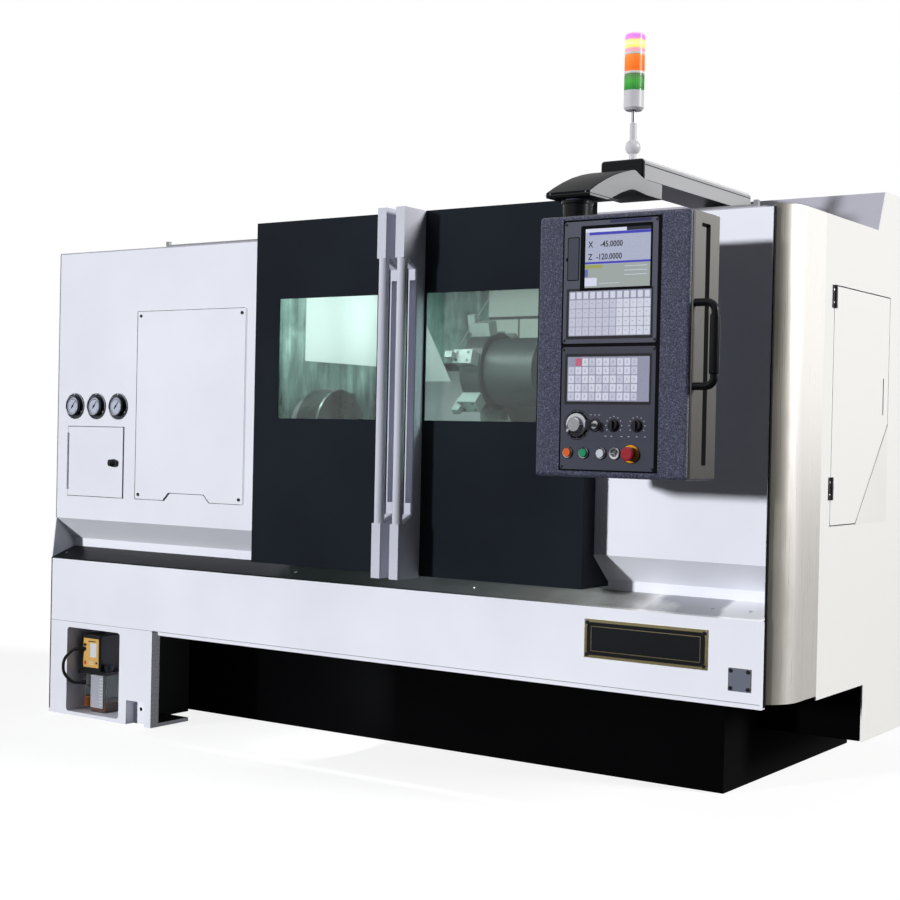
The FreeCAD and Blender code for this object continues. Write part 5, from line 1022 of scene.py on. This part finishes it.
def gauges():
    """Dials with ticks, needles and glass rings, and the screws of the three flanges."""
    low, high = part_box("pressure_gauges")
    radius = (high.z - low.z) / 2
    pitch = (high.x - low.x - 2 * radius) / 2
    flange = low.y + 0.013
    arc = [(22.6, 0.6), (22.6, 0.8), (23.4, 0.8), (23.4, 0.6), (22.6, 0.6)]
    hub = [(0, 3), (2.6, 2.8), (3.2, 2), (3.2, 0.6)]
    screw = [(0, 2.4), (2.6, 2.1), (3.8, 0.8), (3.8, 0)]
    glass_rim = [(27.2, 0), (27.2, 0.8), (28.6, 1), (29.4, 0), (27.2, 0)]
    flange_rim = [(40.6, 0), (40.6, 0.5), (42, 0.3), (42.2, 0), (40.6, 0)]
    rims, dials, arcs, ticks, needles, hubs, screws = [], [], [], [], [], [], []
    for index in range(3):
        front = Vector((low.x + radius + pitch * index, low.y, (low.z + high.z) / 2))
        back = Vector((front.x, flange, front.z))
        dial = front + Vector((0, 0.004, 0))
        rims += [(spun, glass_rim, front), (spun, flange_rim, back)]
        dials.append((drum, dial + Vector((0, 0.0002, 0)), FRONT, 0.0266, 0.0006))
        arcs.append((spun, arc, dial))
        for step in range(25):
            way = clock(-135 + 11.25 * step)
            start, thick = (0.0200, 0.0003) if step % 4 else (0.0180, 0.00045)
            ticks.append((drum, dial + Vector((0, -0.0008, 0)) + way * start, way, thick,
                          0.0225 - start, 6))
        needles.append((drum, dial + Vector((0, -0.0016, 0)) - clock(38) * 0.010, clock(38),
                        0.0013, 0.029, 8, 0.0005))
        hubs.append((spun, hub, dial, FRONT, 20))
        screws += [(spun, screw, back + clock(turn) * 0.0366, FRONT, 16)
                   for turn in (0, 122, -122)]
    for name, finish, shapes in (("gauge_rims", SATIN_CHROME, rims),
                                 ("gauge_dials", DIAL_ENAMEL, dials),
                                 ("gauge_scales", DIGIT_INK, arcs),
                                 ("gauge_ticks", DIGIT_INK, ticks),
                                 ("gauge_needles", NEEDLE_INK, needles),
                                 ("gauge_hubs", BLACK_OXIDE, hubs),
                                 ("gauge_screws", SATIN_CHROME, screws)):
        piece(name, finish, ("machine", "pressure_gauges"), shapes)


def shut_lines():
    """Rubber gasket that shows round the hatch, dark lines of painted shade round the cover,
    and the sheet seams.
    """
    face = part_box("inspection_cover")[1].y
    left_cover = ("machine", "left_cover")
    low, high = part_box("hatch_door")
    piece("hatch_gasket", TRIM_RUBBER, left_cover,
          [(border, (low.x - 0.0009, face - 0.0009, low.z - 0.0022),
            (high.x + 0.0022, face + 0.0002, high.z + 0.0022), 0.005)])
    low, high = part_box("inspection_cover")
    wide, tall = high.x - low.x, high.z - low.z
    outline = [(0, 0), (0.122, 0), (0.146, 0.024), (0.298, 0.024), (0.322, 0), (wide, 0),
               (wide, tall), (0, tall)]
    # Dark lines at the cover's left, top and lower edges and along its notch: painted shade
    # under its edges.
    for name, proud, up, thick in (("cover_shade_line", 0.0009, -0.0018, 0.0011),
                                   ("cover_top_shade_line", 0.0008, 0.0018, 0.001)):
        piece(name, TRIM_RUBBER, left_cover,
              [(prism, [(low.x - 0.0046 + u, face - proud, low.z + up + v)
                        for u, v in outline], (0, thick, 0))])
    piece("cover_notch_shade", TRIM_RUBBER, left_cover,
          [(prism, [low + Vector((u, 0.001, v))
                    for u, v in ((0.116, -0.0018), (0.126, -0.0018), (0.151, 0.0235),
                                 (0.144, 0.0265))], (0, 0.002, 0))])
    foot = low.z + 0.001
    piece("cover_fold", WHITE_SHEET, left_cover,
          [(prism, [(high.x, high.y - 0.0028, foot), (high.x, face + 0.0004, foot),
                    (high.x + 0.006, face + 0.0004, foot)], (0, 0, tall - 0.002))])
    front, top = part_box("lower_front_panel")
    leg_low, leg_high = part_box("leg_cabinet")
    edge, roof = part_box("left_cover")[0].x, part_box("left_cover")[1].z
    seam, sill_foot, hood_foot = leg_high.z, 0.514, 1.515
    piece("panel_seams", SEAM_GREY, ("machine", "lower_front_panel"),
          [(block, (front.x + 0.004, front.y - 0.0004, seam - 0.0007),
            (leg_high.x, front.y + 0.002, seam + 0.0005)),
           (block, (leg_high.x, front.y - 0.0004, seam - 0.0002),
            (top.x - 0.004, front.y + 0.002, seam + 0.0014))])
    # Dark strip along the left end of the lower panel and the leg.
    piece("left_edge_dark_strip", TRIM_RUBBER, left_cover,
          [(block, (edge, front.y - 0.0006, leg_low.z + 0.012),
            (edge + 0.004, front.y + 0.004, sill_foot))])
    piece("left_edge_fold", PALE_TRIM, left_cover,
          [(block, (edge, face - 0.0006, 0.644), (edge + 0.0035, face + 0.004, roof))])
    # Black strip in the gap at the corner column's left: painted shade of the gap.
    piece("column_gap_shade", BLACK_RUBBER_AND_GAP_SHADE, ("machine", "corner_column"),
          [(block, (top.x - 0.0002, face - 0.004, 0.300),
            (top.x + 0.0032, face + 0.004, hood_foot))])
    piece("column_edge_strip", SATIN_CHROME, ("machine", "right_front_panel"),
          [(block, (top.x - 0.0030, face - 0.0008, sill_foot),
            (top.x - 0.0004, face + 0.002, hood_foot))])


def latch_knob():
    """Low round knob of the hatch latch, with its grip bar."""
    spot = middle_of("hatch_latch") + Vector((0.003, 0, 0))
    spot.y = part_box("hatch_latch")[0].y + 0.001
    knob = [(0, 2.6), (7, 2.4), (11.5, 1.6), (13, 0), (13, -4)]
    piece("latch_knob", GLOSS_BLACK, ("hatch_turn_latch", "hatch_latch"),
          [(spun, knob, spot, FRONT, 32),
           (block, spot - Vector((0.0015, 0.0032, 0.006)),
            spot + Vector((0.0015, -0.001, 0.006)), 0.4)])


def plates():
    """Black field with notched corners in the brass border, and the small plate."""
    low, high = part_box("data_plates")
    where = ("machine", "data_plates")
    big_wide, small_wide, big_foot, big_top = 0.349, 0.060, 0.378, 0.478
    big_right, small_left = low.x + big_wide, high.x - small_wide
    inset, notch, dent, rim = 0.0075, 0.010, 0.004, 0.005
    x0, x1 = low.x + inset, big_right - inset
    z0, z1 = big_foot + inset, big_top - inset
    outline = [(x0 + notch, z0), (x1 - notch, z0), (x1 - dent, z0 + dent),
               (x1, z0 + notch), (x1, z1 - notch), (x1 - dent, z1 - dent),
               (x1 - notch, z1), (x0 + notch, z1), (x0 + dent, z1 - dent),
               (x0, z1 - notch), (x0, z0 + notch), (x0 + dent, z0 + dent)]
    piece("big_plate_field", PLATE_FIELD, where,
          [(prism, [(x, low.y - 0.0005, z) for x, z in outline], (0, 0.001, 0))])
    piece("big_plate_line", PLATE_BRASS, where,
          [(border, (x0 + 0.012, low.y - 0.0008, z0 + 0.010),
            (x1 - 0.012, low.y - 0.0002, z1 - 0.010), 0.0016)])
    piece("small_plate_face", LABEL_FIELD, where,
          [(plate, (small_left, low.y - 0.0006, low.z),
            (high.x, low.y + 0.0004, low.z + 0.057), "Y", 2, 0.2)])
    flat = [(0, 1.6), (1.8, 1.4), (2.7, 0.5), (2.7, -0.5)]
    proud = [(0, 2.2), (1.8, 2.0), (2.7, 1.1), (2.7, -0.5)]
    piece("plate_screws", SATIN_CHROME, where,
          [(spun, flat, (x, low.y, z), FRONT, 16)
           for x in (low.x + rim, big_right - rim) for z in (big_foot + rim, big_top - rim)]
          + [(spun, proud, (x, low.y, z), FRONT, 16)
             for x in (small_left + rim, high.x - rim) for z in (low.z + rim, low.z + 0.052)])


def casing_screws():
    """Screws of the sill on its slope, and of the side door's two hinges."""
    sill_slope, hinge_face = Vector((0, -0.033, 0.094)).normalized(), 1.28465
    broad = [(0, 2), (3, 1.8), (5.2, 0.8), (5.2, -0.5)]
    small = [(0, 1.4), (2, 1.2), (3, 0.4), (3, -0.4)]
    piece("sill_screws", SATIN_CHROME, ("machine", "sill"),
          [(spun, broad, (x, -0.405, 0.5276), sill_slope, 20)
           for x in (-1.262, -0.268, 0.371, 1.083, 1.185)])
    piece("side_hinge_screws", SATIN_CHROME, ("machine", "right_side_panel"),
          [(spun, small, (hinge_face, y, z + up), (1, 0, 0), 16)
           for z in (0.800, 1.290) for y in (-0.157, -0.138) for up in (0.013, 0.045)])


def side_details():
    """Cut corner of the side door, its grey pull, and a black block that fills the space under
    the side.
    """
    low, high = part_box("side_door")
    face, where = high.x - 0.0071, ("side_access_door", "side_door")
    piece("side_door_corner", DOOR_SKIN, where,
          [(prism, [(face, 0.033, low.z - 0.0035), (face, high.y + 0.0035, low.z - 0.0035),
                    (face, high.y + 0.0035, 0.998)], (0.0006, 0, 0))])
    piece("side_door_cut_line", SEAM_GREY, where,
          [(prism, [(face, 0.0322, low.z - 0.0015), (face, 0.0346, low.z - 0.0015),
                    (face, high.y + 0.0005, 0.9975), (face, high.y + 0.0005, 1.0005)],
            (0.0009, 0, 0))])
    piece("side_pull", SEAM_GREY, where,
          [(block, (face - 0.003, 0.2205, 1.0275), (face - 0.0008, 0.2288, 1.1265), 0.5)])
    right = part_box("right_side_panel")[1].x
    # Black block that darkens the space under the side.
    piece("side_outrigger", FLAT_BLACK_AND_SHADE, ("machine", "plinth"),
          [(block, (0.9895, 0.122, 0.142), (right - 0.013, 0.600, 0.2955), 3)])


def lubricator():
    """Labels, oil, sight glass and lamp dots of the lubrication unit."""
    face = -0.4025
    pump, tank = ("machine", "pump_box"), ("machine", "oil_tank")

    def label(x0, z0, x1, z1, corner_mm):
        """A label on the unit's face."""
        return (plate, (x0, face - 0.0008, z0), (x1, face + 0.0004, z1), "Y", corner_mm, 0.2)

    def mark(x0, z0, x1, z1):
        """A flat mark printed on a label."""
        return (block, (x0, face - 0.0011, z0), (x1, face - 0.0006, z1))

    def dot(x, z, radius, height):
        """A round button or lamp on a label."""
        return (drum, (x, face - 0.0006, z), FRONT, radius, height, 20)

    piece("pump_label", LABEL_AMBER, pump, [label(-1.1745, 0.156, -1.1030, 0.251, 3)])
    piece("pump_label_field", LABEL_WHITE, pump,
          [mark(-1.1420, 0.190, -1.1130, 0.236), mark(-1.1480, 0.166, -1.1250, 0.168),
           mark(-1.1480, 0.173, -1.1250, 0.175)])
    piece("pump_red_button", LABEL_RED, pump,
          [dot(-1.1660, 0.214, 0.0048, 0.0022), mark(-1.1690, 0.164, -1.1610, 0.176)])
    piece("pump_marks", BLACK_OXIDE, pump,
          [dot(-1.1660, 0.229, 0.0048, 0.0026), mark(-1.1530, 0.240, -1.1180, 0.243),
           dot(-1.1120, 0.172, 0.0036, 0.0016)])
    piece("tank_label", LABEL_GREY, tank, [label(-1.1368, 0.026, -1.0790, 0.133, 2)])
    piece("tank_scale", LABEL_WHITE, tank,
          [mark(-1.0960, 0.036 + 0.0105 * step, -1.0820, 0.0382 + 0.0105 * step)
           for step in range(9)])
    piece("oil_filling", OIL_FILM, tank,
          [(block, (-1.1345, -0.3993, 0.0151), (-1.0685, -0.2757, 0.046), 1.5)])
    sleeve = [(16.1, 0), (16.8, 0), (16.8, 38), (16.1, 38), (16.1, 0)]
    piece("filter_sleeve", SATIN_CHROME, pump,
          [(spun, sleeve, (-1.1605, -0.3845, 0.097), UP, 40)])


# ---------------------------------------------------------------- work chamber

def chamber_fittings():
    """Bright end sheet, painted highlights along the rear lining's folds, its plates, and the
    work lamp.
    """
    low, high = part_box("chamber_liner")
    back, where = 0.5855, ("machine", "chamber_liner")
    piece("bright_end_sheet", BRIGHT_LINER, where,
          [(plate, (low.x + 0.0045, -0.048, 1.176), (low.x + 0.0070, back - 0.006, 1.500),
            "X", 4, 0.4)])
    piece("bright_rear_sheet", BRIGHT_LINER, where,
          [(prism, [(low.x + 0.006, back, 0.995), (-0.400, back, 0.995),
                    (-0.400, back, 1.130), (low.x + 0.006, back, 1.390)],
            (0, -0.0015, 0))])
    start, stop = Vector((-0.2256, back, 1.452)), Vector((-0.360, back, 1.272))
    # Bright bars along the lining's folds: painted highlights.
    piece("lining_fold_highlights", FOLD_HIGHLIGHT_STEEL, where,
          [(drum, start, stop - start, 0.0022, (stop - start).length, 12),
           (block, (-0.252, back - 0.004, 1.2215), (0.560, back + 0.001, 1.2255))])
    piece("lining_sheets", PALE_LINER, where,
          [(plate, (-0.248, back - 0.002, foot), (0.420, back + 0.001, top), "Y", 3, 0.4)
           for foot, top in ((1.228, 1.347), (1.357, 1.449))])
    piece("lining_joints", TRIM_RUBBER, where,
          [(block, (-0.1255, back - 0.0035, 1.228), (-0.1205, back, 1.347)),
           (block, (-0.248, back - 0.0012, 1.347), (0.420, back, 1.357))])
    tube = [(0, 0), (20, 0), (24, 6), (24, 14), (20, 18), (20, 342), (24, 346), (24, 354),
            (20, 360), (0, 360)]
    piece("work_lamp_tube", LAMP_GLOW, where,
          [(spun, tube, (-0.470, 0.020, 1.462), (1, 0, 0), 40)])
    piece("work_lamp_feet", ZINC_STEEL, where,
          [(plate, (x - 0.014, -0.012, 1.476), (x + 0.014, 0.052, high.z - 0.0005), "X", 3,
            0.5) for x in (-0.452, -0.128)])


def tool_block_screws():
    """Four clamping screws on the outer face of each tool block."""
    low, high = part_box("turret")
    middle = (low + high) / 2
    disc_radius, flat_share, block_tall, sunk = 0.125, 1 / 1.6, 0.042, 0.001
    reach = disc_radius * math.cos(math.pi / 6 * flat_share) + block_tall - sunk
    screws = []
    for index in range(6):
        angle = math.radians(45 + 60 * index)
        way = Vector((0, math.cos(angle), math.sin(angle)))
        beside = Vector((0, -way.z, way.y))
        for x in (low.x + 0.032, low.x + 0.072):
            for side in (-0.013, 0.013):
                spot = Vector((x, middle.y, middle.z)) + way * reach + beside * side
                screws.append((drum, spot, way, 0.0045, 0.0022, 16))
    piece("tool_block_screws", BLACK_OXIDE, ("turret_head", "tool_blocks"), screws)


for fitting in (control_sheets, card_slot, display, key_fields, control_rings,
                neck_fittings, grab_handle, bracket_skin, boom_fittings, signal_lamp,
                gauges, shut_lines, latch_knob, plates, casing_screws, side_details,
                lubricator, chamber_fittings, tool_block_screws):
    fitting()


# ---------------------------------------------------------------- stage and lamps

def seen_rays(tree):
    """The ray node, and 1 for rays that go to the eye, straight or through a pane."""
    sight = add(tree, "LightPath").outputs
    return sight, add(tree, "Math", {0: sight["Is Camera Ray"],
                                     1: sight["Is Transmission Ray"]},
                      operation="MAXIMUM").outputs[0]


def pale_floor():
    """White floor to the eye, and a dark one to the light, so that it reflects little."""
    mesh = bmesh.new()
    bmesh.ops.create_grid(mesh, x_segments=1, y_segments=1, size=40,
                          matrix=Matrix.Translation((0, 0, -0.0005)))
    data = bpy.data.meshes.new("studio_floor")
    mesh.to_mesh(data)
    mesh.free()
    floor = bpy.data.objects.new("studio_floor", data)
    SCENE.collection.objects.link(floor)
    material, tree = start_material("white_studio_floor")
    _, seen = seen_rays(tree)
    share = add(tree, "Math", {0: seen, 1: 0.7}, operation="MULTIPLY")
    tone = add(tree, "Mix", {0: seen, 6: (0.09, 0.09, 0.092, 1), 7: (0.9, 0.9, 0.9, 1)},
               data_type="RGBA")
    matt = add(tree, "BsdfDiffuse", {"Color": tone.outputs[2]})
    clean = add(tree, "Emission", {"Color": (1, 1, 1, 1), "Strength": 1.22})
    shader = add(tree, "MixShader", {0: share.outputs[0], 1: matt.outputs[0],
                                     2: clean.outputs[0]})
    add(tree, "OutputMaterial", {"Surface": shader.outputs[0]})
    data.materials.append(material)


def studio_world():
    """White to the eye, dim to the machine, and mirrored with a dark side at its right."""
    world = bpy.data.worlds.new("white_studio")
    world.use_nodes = True
    tree = world.node_tree
    tree.nodes.clear()
    sight, seen = seen_rays(tree)
    way = add(tree, "TexCoord").outputs["Generated"]
    dark_side = add(tree, "VectorMath", {0: way, 1: (0.72, -0.69, 0)},
                    operation="DOT_PRODUCT")
    studio = add(tree, "MapRange", {"Value": dark_side.outputs["Value"], "From Min": 0.62,
                                    "From Max": 0.95, "To Min": 1.0, "To Max": 0.12})
    mirrored = add(tree, "Math", {0: sight["Is Glossy Ray"], 1: studio.outputs[0]},
                   operation="MULTIPLY")
    bright = add(tree, "Math", {0: seen, 1: mirrored.outputs[0]}, operation="MAXIMUM")
    strength = add(tree, "Math", {0: bright.outputs[0], 1: 0.03}, operation="MAXIMUM")
    sky = add(tree, "Background", {"Color": (1, 1, 1, 1), "Strength": strength.outputs[0]})
    add(tree, "OutputWorld", {"Surface": sky.outputs[0]})
    SCENE.world = world


def sun(name, azimuth, elevation, strength, spread, tone=(1, 1, 1), mirrored=True):
    """Broad distant lamp; azimuth 0 shines from the front and 90 from the machine's right."""
    data = bpy.data.lights.new(name, "SUN")
    data.energy = strength
    data.angle = math.radians(spread)
    data.color = tone
    light = bpy.data.objects.new(name, data)
    a, e = math.radians(azimuth), math.radians(elevation)
    toward = Vector((math.sin(a) * math.cos(e), -math.cos(a) * math.cos(e), math.sin(e)))
    light.rotation_euler = toward.to_track_quat("Z", "Y").to_euler()
    light.visible_glossy = mirrored
    SCENE.collection.objects.link(light)


def near_lamp(name, place, wide, watts, turn=(25, 0, 0)):
    """Narrow strip lamp inside the machine or by its leg; turn is in degrees."""
    data = bpy.data.lights.new(name, "AREA")
    data.shape = "RECTANGLE"
    data.size = wide
    data.size_y = 0.05
    data.energy = watts
    data.color = (0.97, 1, 0.99)
    light = bpy.data.objects.new(name, data)
    light.location = place
    light.rotation_euler = [math.radians(angle) for angle in turn]
    SCENE.collection.objects.link(light)


pale_floor()
studio_world()
sun("key_light", -25, 7, 3.2, 4, (0.97, 0.98, 1), False)
sun("side_light", 108, 20, 3.4, 16, (1, 0.99, 0.98))
sun("top_light", -10, 75, 0.16, 40)
near_lamp("left_chamber_light", (-0.15, -0.25, 1.45), 0.5, 4.2)
near_lamp("right_chamber_light", (0.45, -0.25, 1.45), 0.4, 4.2)
near_lamp("end_sheet_light", (-0.36, 0.25, 1.40), 0.4, 0.65, (0, 90, 0))
near_lamp("leg_light", (-0.1, -0.30, 0.15), 0.15, 1.2, (0, 90, 0))
